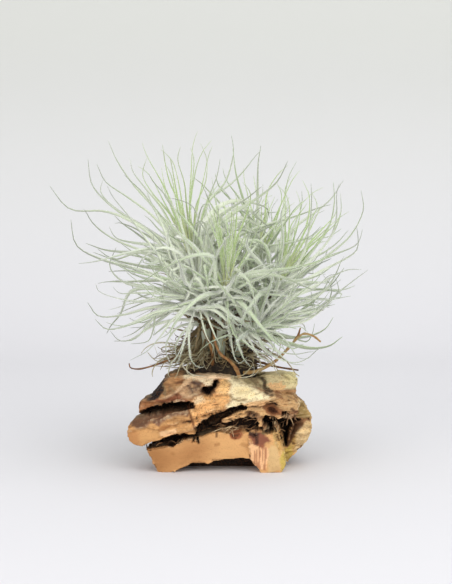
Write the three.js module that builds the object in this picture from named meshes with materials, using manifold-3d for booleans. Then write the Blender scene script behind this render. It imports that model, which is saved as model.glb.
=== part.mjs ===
// A clump of tectorum air plant (a silver, rootless bromeliad) that has grown on a chunk of driftwood.
//
// The driftwood is one piece of weathered wood: stacked slabs with deep cracks between them, two
// stout lobes on the right, three flat feet and a pocket in its top. The plant's woody crown sits
// in the pocket. Seven stems rise from the crown, each ending in a rosette. A rosette is a barrel
// of leaf bases in three tiers, and each tier is split into fans of leaves, so that every fan is one
// solid: its share of the barrel with a handful of tapering, keeled leaves.
//
// Units are millimetres. +X is right and +Y is back as seen from the front, and +Z is up. The
// origin is on the surface that the wood stands on, under the middle of the wood.

import * as THREE from "three";
import { mergeVertices } from "three/addons/utils/BufferGeometryUtils.js";
import Module from "manifold-3d";

const wasm = await Module();
wasm.setup();

// ---------------------------------------------------------------- driving dimensions

const GAP = 0.3; // between pieces that touch
const LEAF_STATIONS = [0, 0.15, 0.36, 0.6, 0.82, 1]; // where a leaf has a section, as shares of its length
const LEAF_TIP_WIDTH = 0.45;
const LEAF_THICKNESS = 0.42; // keel depth as a share of the leaf's width
const LEAF_ROOT_DEPTH = 0.9; // how far a leaf starts inside its barrel
const LEAF_MERGE = 7; // leaves of one fan may touch over this much of their bases
const BARREL_LENGTH = 15;

// The tiers of a rosette's barrel, from the oldest leaves to the youngest. low and high are heights
// on the barrel. Angles are in degrees: lean is from the rosette's axis at the base, spread is how
// much further out the leaf bends on its way, and curl is how its tip turns, inwards if negative.
// share is the leaf's length as a share of the rosette's reach.
const TIERS = {
  outer: {
    radius: 5.4, low: 0, high: 6, wedges: 3,
    leaves: 5, width: 2.5, share: [0.78, 1], lean: [58, 92], spread: 22, curl: [-75, 5],
  },
  middle: {
    radius: 4.6, low: 6.3, high: 11, wedges: 2,
    leaves: 5, width: 2.2, share: [0.85, 1.05], lean: [26, 54], spread: 24, curl: [-60, -10],
  },
  heart: {
    radius: 3.6, low: 11.3, high: 15, wedges: 1,
    leaves: 6, width: 1.6, share: [0.5, 0.8], lean: [3, 17], spread: 12, curl: [-18, 12],
  },
};

// The rosettes. root is where the stem leaves the crown, heart the top of the barrel, axis the way
// the rosette faces, and reach its longest leaf. A leaf whose path is known is listed with its
// tier, how far back its tip is, and the (x, z) points that it passes on the way to its tip.
const ROSETTES = [
  {
    name: "upper_left", root: [-7, 7], heart: [-18, 6, 124], axis: [-0.22, -0.06, 1], reach: 86,
    known: [
      ["outer", 0, [-56, 137], [-80, 139], [-93, 150]],
      ["outer", -6, [-48, 129], [-70, 136], [-82, 147]],
      ["outer", -14, [-49, 118], [-67, 130], [-71, 144]],
      ["outer", 20, [-2, 134], [9, 140], [26, 134]],
      ["outer", 12, [-1, 129], [9, 136], [24, 127]],
      ["outer", 4, [0, 124], [11, 129], [26, 124]],
      ["middle", 8, [-48, 134], [-68, 149], [-73, 166]],
      ["middle", 2, [-39, 136], [-62, 153], [-67, 164]],
      ["middle", 16, [-50, 133], [-66, 145], [-68, 156]],
      ["middle", 6, [-38, 141], [-53, 157], [-62, 176]],
      ["middle", 18, [-36, 141], [-49, 155], [-48, 169]],
      ["middle", 0, [-9, 142], [-4, 152], [0, 167]],
      ["middle", 6, [-8, 141], [5, 157], [8, 179]],
      ["middle", 16, [-5, 142], [11, 153], [20, 172]],
      ["heart", 12, [-31, 142], [-42, 154], [-41, 167]],
      ["heart", 0, [-27, 145], [-32, 156], [-44, 175]],
      ["heart", 7, [-23, 145], [-29, 157], [-31, 175]],
      ["heart", 11, [-19, 144], [-20, 155], [-26, 172]],
      ["heart", 3, [-17, 144], [-16, 157], [-15, 182]],
      ["heart", 8, [-13, 143], [-7, 158], [-10, 175]],
    ],
  },
  {
    name: "right", root: [10.5, 1.5], heart: [36, -6, 109], axis: [0.48, -0.02, 0.88], reach: 78,
    known: [
      ["heart", -12, [43, 123], [49, 144], [47, 156]],
      ["heart", -16, [37, 125], [39, 134], [48, 144]],
      ["heart", -4, [41, 126], [43, 138], [43, 150]],
      ["middle", -10, [51, 120], [61, 136], [61, 155]],
      ["middle", -1, [55, 118], [65, 133], [66, 148]],
      ["middle", -6, [58, 116], [74, 133], [77, 152]],
      ["middle", 4, [49, 112], [63, 118], [71, 127]],
      ["outer", -12, [54, 108], [72, 117], [77, 129]],
      ["outer", -36, [18, 114], [9, 109], [6, 103]],
      ["outer", -28, [23, 119], [12, 118], [4, 113]],
    ],
  },
  {
    name: "front", root: [0, -9], heart: [4, -29, 109], axis: [0.1, -0.42, 0.9], reach: 66,
    known: [
      ["heart", -33, [10, 131], [16, 147], [14, 159]],
      ["heart", -29, [8, 126], [9, 138], [10, 150]],
      ["middle", -30, [-3, 120], [-8, 131], [-12, 138]],
      ["outer", -44, [-4, 116], [-16, 117], [-39, 109]],
      ["outer", -54, [-8, 109], [-6, 98], [-6, 86]],
      ["outer", -52, [11, 110], [17, 102], [18, 94]],
      ["outer", -50, [4, 85], [9, 70], [17, 59]],
    ],
  },
  {
    name: "lower_left", root: [-7, -4], heart: [-21, -28, 97], axis: [-0.8, -0.5, 0.3], reach: 74,
    known: [
      ["middle", -26, [-45, 107], [-73, 117], [-81, 133]],
      ["middle", -38, [-39, 100], [-58, 107], [-55, 122]],
      ["heart", -42, [-48, 94], [-65, 100], [-64, 107]],
      ["middle", -34, [-40, 88], [-63, 84], [-70, 94]],
      ["outer", -18, [-43, 113], [-57, 111], [-65, 115]],
      ["outer", -46, [-46, 95], [-55, 81], [-63, 79]],
      ["outer", -50, [-35, 87], [-40, 75], [-55, 75]],
      ["outer", -32, [-33, 82], [-42, 77], [-51, 73]],
    ],
  },
  {
    name: "lower_right", root: [9, -5.5], heart: [27, -23, 81], axis: [0.8, -0.38, 0.36], reach: 66,
    known: [
      ["middle", -28, [46, 84], [67, 101], [78, 110]],
      ["middle", -20, [43, 90], [60, 102], [65, 111]],
      ["heart", -14, [44, 87], [54, 95], [60, 106]],
      ["middle", -14, [43, 79], [52, 82], [60, 87]],
      ["outer", -10, [43, 71], [54, 73], [62, 82]],
      ["outer", -4, [42, 66], [56, 66], [65, 74]],
      ["outer", -44, [20, 92], [14, 99], [-3, 104]],
      ["outer", -36, [37, 77], [43, 68], [49, 65]],
    ],
  },
  {
    name: "top_back", root: [4, 9], heart: [23, 25, 118], axis: [0.25, 0.42, 0.87], reach: 70,
    known: [
      ["heart", 24, [25, 134], [27, 150], [37, 163]],
      ["middle", 20, [12, 136], [2, 145], [-3, 158]],
      ["middle", 27, [15, 137], [8, 147], [1, 160]],
    ],
  },
  {
    name: "rear", root: [-1, 12], heart: [-4, 42, 97], axis: [-0.12, 0.88, 0.46], reach: 72,
    known: [],
  },
];

// How far the clump reaches from its middle as seen from the front, every 15 degrees from the right
// and through the top, and the same from the side, where it is an ellipse.
const OUTLINE = {
  x: -8, z: 105,
  reach: [79, 86, 97, 80, 76, 76, 80, 76, 84, 84, 95, 78, 64, 62, 58, 56, 56, 54, 52, 54, 58, 64, 70, 77],
  y: 4, deep: 80, tall: 80,
};
// A stem's radius, and that of the cup it swells to under its barrel, where it runs straight.
const STEM = { radius: 2.6, flare: 5.2, flareLength: 7, straight: 2.5, low: 57 };

// The crown: the old woody base of the clump, glued into the pocket in the wood.
const CROWN = { x: 2, y: 3, seat: 44, top: 67, across: 19, deep: 15 };

// Fans of dead, curly leaves that hang from the crown. from and to are bearings in degrees.
const SKIRT = {
  low: 57, high: 61.5, thickness: 2, width: 1.5, leaves: 6, reach: [26, 46],
  fans: [
    { name: "dry_leaves_front_left", from: 208, to: 246 },
    { name: "dry_leaves_front_right", from: 290, to: 328 },
    { name: "dry_leaves_back_right", from: 22, to: 80 },
    { name: "dry_leaves_back_left", from: 116, to: 176 },
  ],
};

// Dead stalks. Each is a path of [x, y, z] points from the crown out, with a radius at each end.
const STALKS = [
  {
    name: "old_bloom_stalk", thick: 1.5, thin: 0.7,
    path: [
      [14, -1, 57], [23, -5, 57.5], [31, -14, 63], [38, -20, 70],
      [41, -22, 73], [45, -23, 75], [50, -24, 74], [54, -25, 71],
    ],
  },
  {
    name: "dry_stalk_left", thick: 1.1, thin: 0.5,
    path: [[-10, 1, 62], [-20, -3, 62], [-30, -11, 58.8], [-42, -18, 57], [-48, -20, 57.8], [-49, -20, 60.5]],
  },
  {
    name: "dry_stalk_front_left", thick: 1.2, thin: 0.7,
    path: [[-4, -9.8, 56], [-4.2, -14, 62], [-5.5, -20, 69], [-9, -23, 77]],
  },
  {
    name: "dry_stalk_front_right", thick: 1.4, thin: 0.6,
    path: [[4.6, -8.6, 57], [5.2, -15, 60], [5, -22, 64], [1, -25, 71], [-2, -27, 80]],
  },
  {
    name: "dry_stalk_lying", thick: 1.1, thin: 0.6,
    path: [[15, 5, 58], [23, 6, 57], [32, 4, 54.6], [43, 2, 54]],
  },
];

// ---------------------------------------------------------------- the driftwood's slabs

// The wood has split into slabs, which show as outlines in its sawn front. Each is its (x, z)
// outline, and runs from front to back. What lies below the ground is cut off.
const SLABS = [
  { // the lowest slab, sawn flat in front, with a chipped lower edge
    front: -27, back: 19,
    outline: [
      [-40.4, 13.2], [-38.4, 12.4], [-31.3, 13.7], [-24.4, 14.8], [-19.6, 18.4], [-15.4, 18.1],
      [-9.9, 19.3], [-4.4, 21.2],
      [1.1, 22], [5.9, 21.2], [14.2, 21.6], [20, 16], [20, 7.6], [10.7, 7.2], [5.2, 6.4], [-3.4, 6.8],
      [-5.1, 4.8], [-6.5, 3.8], [-8.9, 5.2], [-15.4, 4.8], [-22, 2.6], [-28, -1], [-33.4, -1], [-36.8, 6.6],
    ],
  },
  { // the ledge that juts out on the left
    front: -29.5, back: 15,
    outline: [
      [-50, 20.8], [-49.4, 25.6], [-45.2, 28.8], [-41.6, 30.2], [-31.3, 32.2], [-25.1, 33.5], [-17.5, 34],
      [-12, 34], [-10, 24], [-12.9, 21.4], [-16.8, 21.3], [-19.6, 20.8], [-26.4, 18.9], [-34, 16.4],
      [-40.2, 14], [-45.5, 15.2], [-49, 17.6],
    ],
  },
  { // the top slab, from its thin left lip to its right end
    front: -27, back: 21,
    outline: [
      [-44.7, 32.6], [-44.2, 36.9], [-42, 39.4], [-37.1, 40.4], [-33.3, 45.4], [-30.2, 49.8], [-26.4, 52],
      [-20.9, 52.8], [-5.8, 53.4], [5.2, 52.6], [8, 50.4], [12.1, 48.2], [20.4, 44], [28.7, 41.9],
      [39, 39.5], [42.4, 37.2], [41.7, 33.4], [37, 32], [34.5, 30.4], [26, 35.4], [13.5, 36.2], [8, 35.2],
      [1.1, 32.4], [-5.8, 29.4], [-11.3, 26.6], [-14, 26.4], [-15.6, 31], [-16.8, 36.4], [-23.7, 37.6],
      [-29.9, 37.4], [-32.6, 34.6], [-38.2, 33.6],
    ],
  },
  { // the flake that hangs under the right half of the top slab
    front: -25, back: 4,
    outline: [
      [0.4, 27.3], [3.2, 29.2], [8, 31.6], [13.8, 34.4], [18, 38], [33, 38], [36, 31], [30.7, 28.2],
      [27.3, 29.2], [23.8, 29.5], [22.5, 25.9], [20.4, 27.8], [15.6, 28.8], [10, 27.6], [5.2, 26.4],
    ],
  },
  { // the stout foot at the right of the front
    front: -28, back: -5,
    outline: [
      [15.6, 20.8], [16.4, 7.7], [19, 3.6], [22.6, -1], [32.6, -1], [34.9, 2.8], [34.9, 5.7], [34.2, 11.9],
      [32.1, 18.8], [30, 25.7], [27, 30], [22.5, 26], [19, 22.8],
    ],
  },
  { // the lobe on the right
    front: -15, back: 19,
    outline: [
      [34.6, 1.6], [37, 2.8], [39.6, 6.2], [41.7, 7.8], [45.2, 11], [47.9, 15], [49.7, 22],
      [49.2, 26.5], [48.4, 31], [45.4, 35.2],
      [41, 39], [32, 40], [31, 20], [32.4, 10],
    ],
  },
  { // the weathered block at the right of the top
    front: -13, back: 27,
    outline: [
      [3, 45.5], [10, 47.2], [16.3, 48.8], [25.2, 50], [35.5, 50.4], [42.6, 48.6], [42.2, 45.4], [41, 39],
      [40, 26], [30, 18], [6, 18],
    ],
  },
  { // the body that holds the slabs together, and the ground under it
    front: -12, back: 24,
    outline: [
      [-20, -2], [20, -2], [31, 9], [35, 38], [22, 47],
      [-20, 48], [-30, 44], [-35, 30], [-35, 14], [-28, 4],
    ],
  },
  { // the ledge across the back
    front: 16, back: 32,
    outline: [
      [-30, 22], [-24, 31], [-8, 35.5], [10, 33.6], [24, 31.5],
      [31, 24.5], [20, 20], [4, 22.2], [-12, 18.6],
    ],
  },
  { // the lower swell of the back
    front: 12, back: 28,
    outline: [
      [-27, 5], [-30, 14], [-14, 17], [6, 16], [20, 14.5],
      [28, 9], [20, 2], [14, -2], [-12, -2], [-20, 2],
    ],
  },
];
const SLAB_STEPS = 3; // stretches from front to back
const SLAB_TAPER = 0.14; // how much narrower a slab is at its back
const GRAIN = 0.7; // how far the wood's skin wanders
const POCKET = { x: 3, y: 4, across: 23.5, deep: 17.5 }; // the hollow in the top that holds the crown
// Seen from above the wood is an oval: at its ends it reaches only this share as far back.
const PLAN = [
  [-52, 0.3], [-46, 0.42], [-40, 0.6], [-34, 0.8], [-28, 1],
  [38, 1], [43, 0.9], [47, 0.76], [52, 0.5],
];
const HOLLOWS = [ // dark holes in the front: centre and half sizes
  { at: [-7.2, -27, 43.6], half: [3.2, 9, 2.3] },
  { at: [-3.2, -27.5, 47.2], half: [1.4, 6, 3.2] },
  { at: [28, -27, 35.6], half: [4.4, 4, 2.2] },
  { at: [8.6, -27.5, 20.6], half: [3.2, 2.4, 2.2] },
];

// ---------------------------------------------------------------- helpers

const vector = ([x, y, z]) => new THREE.Vector3(x, y, z);
const radians = THREE.MathUtils.degToRad;
const mix = THREE.MathUtils.lerp;

// A repeatable stream of numbers from 0 to 1.
function stream(seed) {
  let state = seed;
  return () => {
    state = (state + 0x6d2b79f5) | 0;
    let t = Math.imul(state ^ (state >>> 15), 1 | state);
    t = (t + Math.imul(t ^ (t >>> 7), 61 | t)) ^ t;
    return ((t ^ (t >>> 14)) >>> 0) / 4294967296;
  };
}

// Any vector at a right angle to the given one.
function across(direction) {
  const other = Math.abs(direction.z) < 0.9 ? new THREE.Vector3(0, 0, 1) : new THREE.Vector3(1, 0, 0);
  return other.cross(direction).normalize();
}

function solidOf(geometry) {
  const plain = geometry.clone();
  plain.deleteAttribute("normal");
  plain.deleteAttribute("uv");
  const merged = mergeVertices(plain, 1e-4);
  return new wasm.Manifold(
    new wasm.Mesh({
      numProp: 3,
      vertProperties: merged.attributes.position.array,
      triVerts: new Uint32Array(merged.index.array),
    }),
  );
}

function geometryOf(solid) {
  const { numProp, numVert, vertProperties, triVerts } = solid.getMesh();
  const positions = new Float32Array(numVert * 3);
  for (let i = 0; i < numVert; i++) {
    positions.set(vertProperties.subarray(i * numProp, i * numProp + 3), i * 3);
  }
  const geometry = new THREE.BufferGeometry();
  geometry.setAttribute("position", new THREE.BufferAttribute(positions, 3));
  geometry.setIndex(new THREE.BufferAttribute(triVerts, 1));
  geometry.computeVertexNormals();
  return geometry;
}

// Skins a row of sections, each the same number of points turning the same way, into a closed
// body. The first section is capped, and so is the last, unless it is a single point.
function loft(sections) {
  const count = sections[0].length;
  const points = sections.flat();
  const faces = [];
  const start = (s) => s * count;
  for (let s = 0; s + 1 < sections.length; s++) {
    const toPoint = sections[s + 1].length === 1;
    for (let i = 0; i < count; i++) {
      const j = (i + 1) % count;
      if (toPoint) faces.push(start(s) + i, start(s) + j, start(s + 1));
      else {
        faces.push(start(s) + i, start(s) + j, start(s + 1) + j);
        faces.push(start(s) + i, start(s + 1) + j, start(s + 1) + i);
      }
    }
  }
  for (let i = 1; i + 1 < count; i++) faces.push(0, i + 1, i);
  if (sections.at(-1).length > 1) {
    const last = start(sections.length - 1);
    for (let i = 1; i + 1 < count; i++) faces.push(last, last + i, last + i + 1);
  }
  const geometry = new THREE.BufferGeometry().setFromPoints(points);
  geometry.setIndex(faces);
  return geometry;
}

// loft() made solid, whichever way round its sections turn.
function loftSolid(sections) {
  const solid = solidOf(loft(sections));
  return solid.volume() > 0 ? solid : solidOf(loft(sections.map((section) => [...section].reverse())));
}

// A round rod along a path of points, with a radius at each.
function rod(path, radii, sides = 7) {
  let side = across(path[1].clone().sub(path[0]).normalize());
  const sections = path.map((point, i) => {
    const next = path[Math.min(i + 1, path.length - 1)];
    const tangent = next.clone().sub(path[Math.max(i - 1, 0)]).normalize();
    side = side.clone().addScaledVector(tangent, -side.dot(tangent)).normalize();
    const up = tangent.clone().cross(side);
    return Array.from({ length: sides }, (_, k) => {
      const turn = (2 * Math.PI * k) / sides;
      return point
        .clone()
        .addScaledVector(side, radii[i] * Math.cos(turn))
        .addScaledVector(up, radii[i] * Math.sin(turn));
    });
  });
  return loftSolid(sections);
}

function piece(name, solid, material) {
  const mesh = new THREE.Mesh(geometryOf(solid), material);
  mesh.name = name;
  return mesh;
}

// ---------------------------------------------------------------- materials

const finish = (color, roughness) => new THREE.MeshStandardMaterial({ color, roughness, metalness: 0 });
const driftwood = finish(0xd0a06a, 0.85);
const woodyCrown = finish(0x4a3c2c, 0.9);
const stemBark = finish(0x8c8468, 0.9);
const dryLeaf = finish(0xa89c7c, 0.9);
const dryStalk = finish(0x8a6238, 0.7);
const leafOf = {
  outer: finish(0xb9bdab, 0.95),
  middle: finish(0xbfc7b0, 0.95),
  heart: finish(0xa9c088, 0.9),
};

// ---------------------------------------------------------------- driftwood

// How far back the wood reaches at x, as a share of a slab's depth.
function reachAt(x) {
  const next = PLAN.findIndex(([at]) => at >= x);
  if (next <= 0) return PLAN.at(next)[1];
  const [[x0, share0], [x1, share1]] = [PLAN[next - 1], PLAN[next]];
  return mix(share0, share1, (x - x0) / (x1 - x0));
}

// A slab: its outline drawn out from front to back, narrowing, and with an uneven skin.
function slabSolid({ front, back, outline }) {
  const shape = new THREE.Shape(outline.map(([x, z]) => new THREE.Vector2(x, z)));
  const depth = back - front;
  const body = new THREE.ExtrudeGeometry(shape, { depth, steps: SLAB_STEPS, bevelEnabled: false })
    .rotateX(Math.PI / 2)
    .translate(0, back, 0);
  const middle = new THREE.Box2().setFromPoints(shape.getPoints()).getCenter(new THREE.Vector2());
  const place = body.attributes.position;
  for (let i = 0; i < place.count; i++) {
    const [x, y, z] = [place.getX(i), place.getY(i), place.getZ(i)];
    const narrow = 1 - SLAB_TAPER * ((y - front) / depth) ** 2;
    const wander = Math.sin(x * 0.63 + z * 0.9 + y) * Math.cos(y * 0.71 - x * 0.22);
    const lift = Math.cos(x * 0.5 + y * 0.8) * ((y - front) / depth);
    const newX = middle.x + (x - middle.x) * narrow;
    const newZ = middle.y + (z - middle.y) * narrow + GRAIN * lift;
    const newY = front + (y + GRAIN * wander - front) * reachAt(x);
    place.setXYZ(i, newX, newY, newZ);
  }
  return solidOf(body);
}

function driftwoodSolid() {
  let wood = wasm.Manifold.union(SLABS.map(slabSolid));
  for (const { at, half } of HOLLOWS) {
    const hollow = new THREE.SphereGeometry(1, 10, 7).scale(...half).translate(...at);
    wood = wood.subtract(solidOf(hollow));
  }
  const pocketDepth = 30;
  const pocket = new THREE.CylinderGeometry(1, 0.94, pocketDepth, 22)
    .rotateX(Math.PI / 2)
    .scale(POCKET.across, POCKET.deep, 1)
    .translate(POCKET.x, POCKET.y, CROWN.seat + pocketDepth / 2);
  const ground = new THREE.BoxGeometry(200, 200, 20).translate(0, 0, -10);
  return wood.subtract(solidOf(pocket)).subtract(solidOf(ground));
}

// ---------------------------------------------------------------- room for the leaves

// Everything placed so far, as balls in a grid, so that a new leaf can be tried for clearance.
// travel is a ball's distance from the base of its leaf.
class Thicket {
  cell = 5;
  balls = new Map();
  key = (x, y, z) => `${x},${y},${z}`;
  at = (v) => Math.floor(v / this.cell);
  add(ball) {
    const key = this.key(this.at(ball.point.x), this.at(ball.point.y), this.at(ball.point.z));
    if (!this.balls.has(key)) this.balls.set(key, []);
    this.balls.get(key).push(ball);
  }
  meets(ball) {
    const [x, y, z] = ball.point.toArray().map(this.at);
    for (let i = x - 1; i <= x + 1; i++)
      for (let j = y - 1; j <= y + 1; j++)
        for (let k = z - 1; k <= z + 1; k++)
          for (const other of this.balls.get(this.key(i, j, k)) ?? []) {
            const kin = other.owner === ball.owner || other.owner === ball.family;
            if (kin && ball.travel < LEAF_MERGE && other.travel < LEAF_MERGE) continue;
            if (other.point.distanceTo(ball.point) < other.radius + ball.radius + BALL_MARGIN) return true;
          }
    return false;
  }
}
const BALL_STEP = 1; // between the balls along a leaf
const BALL_MARGIN = GAP + 0.3; // covers the gap and what the spacing of the balls can miss
const thicket = new Thicket();

// Balls along a path of straight stretches.
function ballsAlong(path, radii, owner, family) {
  const balls = [];
  let travel = 0;
  for (let i = 0; i + 1 < path.length; i++) {
    const length = path[i].distanceTo(path[i + 1]);
    const steps = Math.max(1, Math.ceil(length / BALL_STEP));
    for (let k = 0; k < steps; k++) {
      const share = k / steps;
      balls.push({
        point: path[i].clone().lerp(path[i + 1], share),
        radius: mix(radii[i], radii[i + 1], share),
        travel: travel + length * share,
        owner,
        family,
      });
    }
    travel += length;
  }
  balls.push({ point: path.at(-1).clone(), radius: radii.at(-1), travel, owner, family });
  return balls;
}

// The space that the wood and the crown take up, and the floor.
function blocked({ x, y, z }) {
  const overWood = Math.abs(x) < 53 && y > -32 && y < 36;
  const inCrown = ((x - CROWN.x) / (CROWN.across + 1)) ** 2 + ((y - CROWN.y) / (CROWN.deep + 1)) ** 2 < 1;
  return z < 4 || (overWood && z < 56) || (inCrown && z < CROWN.top - 4);
}

// Whether a point is past the outline of the clump.
function pastOutline({ x, y, z }) {
  const right = x - OUTLINE.x;
  const up = z - OUTLINE.z;
  const steps = OUTLINE.reach.length;
  const bearing = ((Math.atan2(up, right) / (2 * Math.PI) + 1) * steps) % steps;
  const before = Math.floor(bearing) % steps;
  const reach = mix(OUTLINE.reach[before], OUTLINE.reach[(before + 1) % steps], bearing - before);
  const fromSide = Math.hypot((y - OUTLINE.y) / OUTLINE.deep, up / OUTLINE.tall);
  return Math.hypot(right, up) > reach || fromSide > 1;
}

// ---------------------------------------------------------------- leaves

// Half the width of a leaf at a share of its length: widest at its base, and thread-like at its tip.
const halfWidth = (width, share) => mix(width, LEAF_TIP_WIDTH, share ** 0.8) / 2;

// Cuts a smooth spine into a leaf's stations, and keeps it if it has room.
function tryLeaf(spine, width, owner, family) {
  const path = LEAF_STATIONS.map((share) => spine.getPointAt(share));
  const radii = LEAF_STATIONS.map((share) => halfWidth(width, share));
  const balls = ballsAlong(path, radii, owner, family);
  const free = balls.filter((ball) => ball.travel > LEAF_MERGE);
  if (free.some((ball) => blocked(ball.point)) || balls.some((ball) => thicket.meets(ball))) return null;
  balls.forEach((ball) => thicket.add(ball));
  return { path, width };
}

// A leaf's solid: a keeled strip with a flat upper face, which looks towards "up".
function leafSolid({ path, width }, up) {
  let face = up.clone();
  const sections = path.map((point, i) => {
    if (i === path.length - 1) return [point];
    const tangent = path[i + 1].clone().sub(path[Math.max(i - 1, 0)]).normalize();
    face = face.clone().addScaledVector(tangent, -face.dot(tangent)).normalize();
    const side = tangent.clone().cross(face).multiplyScalar(halfWidth(width, LEAF_STATIONS[i]));
    const keel = face.clone().multiplyScalar(-2 * LEAF_THICKNESS * side.length());
    return [point.clone().add(side), point.clone().sub(side), point.clone().add(keel)];
  });
  return loftSolid(sections);
}

// ---------------------------------------------------------------- rosettes

// The frame of a rosette: where its barrel starts, its axis, and bearings around it.
function rosetteFrame({ heart, axis }) {
  const along = vector(axis).normalize();
  const right = across(along);
  const back = along.clone().cross(right);
  const foot = vector(heart).addScaledVector(along, -BARREL_LENGTH);
  const at = (height) => foot.clone().addScaledVector(along, height);
  const radial = (bearing) =>
    right.clone().multiplyScalar(Math.cos(bearing)).addScaledVector(back, Math.sin(bearing));
  const bearingOf = (point) => {
    const off = point.clone().sub(foot);
    return (Math.atan2(off.dot(back), off.dot(right)) + 2 * Math.PI) % (2 * Math.PI);
  };
  return { along, at, radial, bearingOf };
}

// One wedge of a tier of the barrel.
function wedgeSolid(frame, tier, wedge) {
  const sweep = (2 * Math.PI) / tier.wedges;
  const shape = new THREE.Shape();
  if (tier.wedges > 1) shape.moveTo(0, 0);
  shape.absarc(0, 0, tier.radius, wedge * sweep, (wedge + 1) * sweep, false);
  const body = new THREE.ExtrudeGeometry(shape, {
    depth: tier.high - tier.low,
    bevelEnabled: false,
    curveSegments: tier.wedges > 1 ? Math.round(12 / tier.wedges) : 10,
  });
  const slip = tier.wedges > 1 ? GAP / 2 / Math.sin(sweep / 2) : 0;
  const middle = (wedge + 0.5) * sweep;
  body.translate(slip * Math.cos(middle), slip * Math.sin(middle), 0);
  const basis = new THREE.Matrix4().makeBasis(frame.radial(0), frame.radial(Math.PI / 2), frame.along);
  body.applyMatrix4(basis.setPosition(frame.at(tier.low)));
  return solidOf(body);
}

// Where a leaf with this bearing leaves its wedge: pulled in from the wedge's edges.
function leafRoot(frame, tier, wedge, bearing, height) {
  const sweep = (2 * Math.PI) / tier.wedges;
  const middle = (wedge + 0.5) * sweep;
  const pulled = tier.wedges > 1 ? middle + (bearing - middle) * 0.66 : bearing;
  const radius = tier.wedges > 1 ? tier.radius - LEAF_ROOT_DEPTH : tier.radius - 1.5;
  return frame.at(height).addScaledVector(frame.radial(pulled), radius);
}

const KNOWN_SHARES = [0, 0.42, 0.72, 1]; // how far along a leaf its root and its known points are

// The spine of a leaf whose path is known. push moves its tip back or forward.
function knownSpine(root, [, depth, ...points], push) {
  const path = [root];
  points.forEach(([x, z], i) => {
    const share = KNOWN_SHARES[i + 1];
    path.push(new THREE.Vector3(x, mix(root.y, depth, share) + push * share, z));
  });
  return new THREE.CatmullRomCurve3(path, false, "centripetal");
}

// The spine of any other leaf: it leans out, spreads, and its tip curls and swings aside. It is
// null where the leaf would pass the clump's outline.
function grownSpine(frame, root, bearing, tier, reach, random) {
  const lean = radians(mix(...tier.lean, random()));
  const curl = radians(mix(...tier.curl, random()));
  const swing = mix(-0.5, 0.5, random());
  const droop = mix(0.05, 0.35, random());
  const length = reach * mix(...tier.share, random());
  const steps = 14;
  const points = [root.clone()];
  for (let i = 0; i < steps; i++) {
    const share = (i + 0.5) / steps;
    const angle = lean + radians(tier.spread) * Math.sin(share * Math.PI * 0.7) + curl * share ** 2.5;
    const heading = frame.along
      .clone()
      .multiplyScalar(Math.cos(angle))
      .addScaledVector(frame.radial(bearing + swing * share ** 2), Math.sin(angle));
    heading.z -= droop * share * (1 - 0.6 * share);
    points.push(points.at(-1).clone().addScaledVector(heading.normalize(), length / steps));
  }
  return points.some(pastOutline) ? null : new THREE.CatmullRomCurve3(points, false, "centripetal");
}

const KNOWN_PUSHES = [0, 2, -2, 4, -4, 6, -6, 8, -8, 10, -10, 13, -13, 16, -16, 20, -20, 24, -24, 28, -28];
const GROW_TRIES = 160;

// Places a rosette's known leaves, and returns its tiers with the leaves so far in each wedge.
function startRosette(rosette) {
  const frame = rosetteFrame(rosette);
  const fans = Object.entries(TIERS).flatMap(([tierName, tier]) =>
    Array.from({ length: tier.wedges }, (_, wedge) => {
      const letter = tier.wedges > 1 ? `_${"abc"[wedge]}` : "";
      return { name: `${rosette.name}_${tierName}_leaves${letter}`, tierName, tier, wedge, leaves: [] };
    }),
  );
  for (const known of rosette.known) {
    const [tierName, depth, [x, z]] = known;
    const bearing = frame.bearingOf(new THREE.Vector3(x, mix(rosette.heart[1], depth, KNOWN_SHARES[1]), z));
    const sweep = (2 * Math.PI) / TIERS[tierName].wedges;
    const fan = fans.find((f) => f.tierName === tierName && f.wedge === Math.floor(bearing / sweep));
    const height = mix(fan.tier.low + 1.4, fan.tier.high - 1.4, (fan.leaves.length * 0.618) % 1);
    const root = leafRoot(frame, fan.tier, fan.wedge, bearing, height);
    for (const push of KNOWN_PUSHES) {
      const leaf = tryLeaf(knownSpine(root, known, push), fan.tier.width, fan.name, rosette.name);
      if (leaf) {
        fan.leaves.push(leaf);
        break;
      }
    }
  }
  return { rosette, frame, fans };
}

// Fills up each fan with grown leaves, as far as they have room.
function fillRosette({ rosette, frame, fans }, index) {
  const random = stream(977 * (index + 1));
  for (const fan of fans) {
    const sweep = (2 * Math.PI) / fan.tier.wedges;
    for (let tries = 0; tries < GROW_TRIES && fan.leaves.length < fan.tier.leaves; tries++) {
      const bearing = (fan.wedge + random()) * sweep;
      const height = mix(fan.tier.low + 1.3, fan.tier.high - 1.3, random());
      const root = leafRoot(frame, fan.tier, fan.wedge, bearing, height);
      const reach = rosette.reach * (1 - (0.4 * tries) / GROW_TRIES);
      const spine = grownSpine(frame, root, bearing, fan.tier, reach, random);
      const leaf = spine && tryLeaf(spine, fan.tier.width, fan.name, rosette.name);
      if (leaf) fan.leaves.push(leaf);
    }
  }
}

// A stem rises from the crown and turns until it points along its rosette's axis.
function stemPath({ root, heart, axis }) {
  const along = vector(axis).normalize();
  const top = vector(heart).addScaledVector(along, -BARREL_LENGTH - GAP);
  const bend = top.clone().addScaledVector(along, -STEM.straight);
  const start = new THREE.Vector3(...root, STEM.low);
  const rise = start.distanceTo(bend) * 0.4;
  const lower = start.clone().add(new THREE.Vector3(0, 0, rise));
  const upper = bend.clone().addScaledVector(along, -0.6 * rise);
  const curve = new THREE.CubicBezierCurve3(start, lower, upper, bend);
  return [...curve.getSpacedPoints(8), top];
}

// A stem swells under its barrel, and ends in a flat top that the barrel sits on.
function stemRadii(path) {
  return path.map((point) => {
    const left = point.distanceTo(path.at(-1));
    return mix(STEM.flare, STEM.radius, Math.min(1, left / STEM.flareLength));
  });
}

// ---------------------------------------------------------------- crown, skirt and stalks

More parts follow.
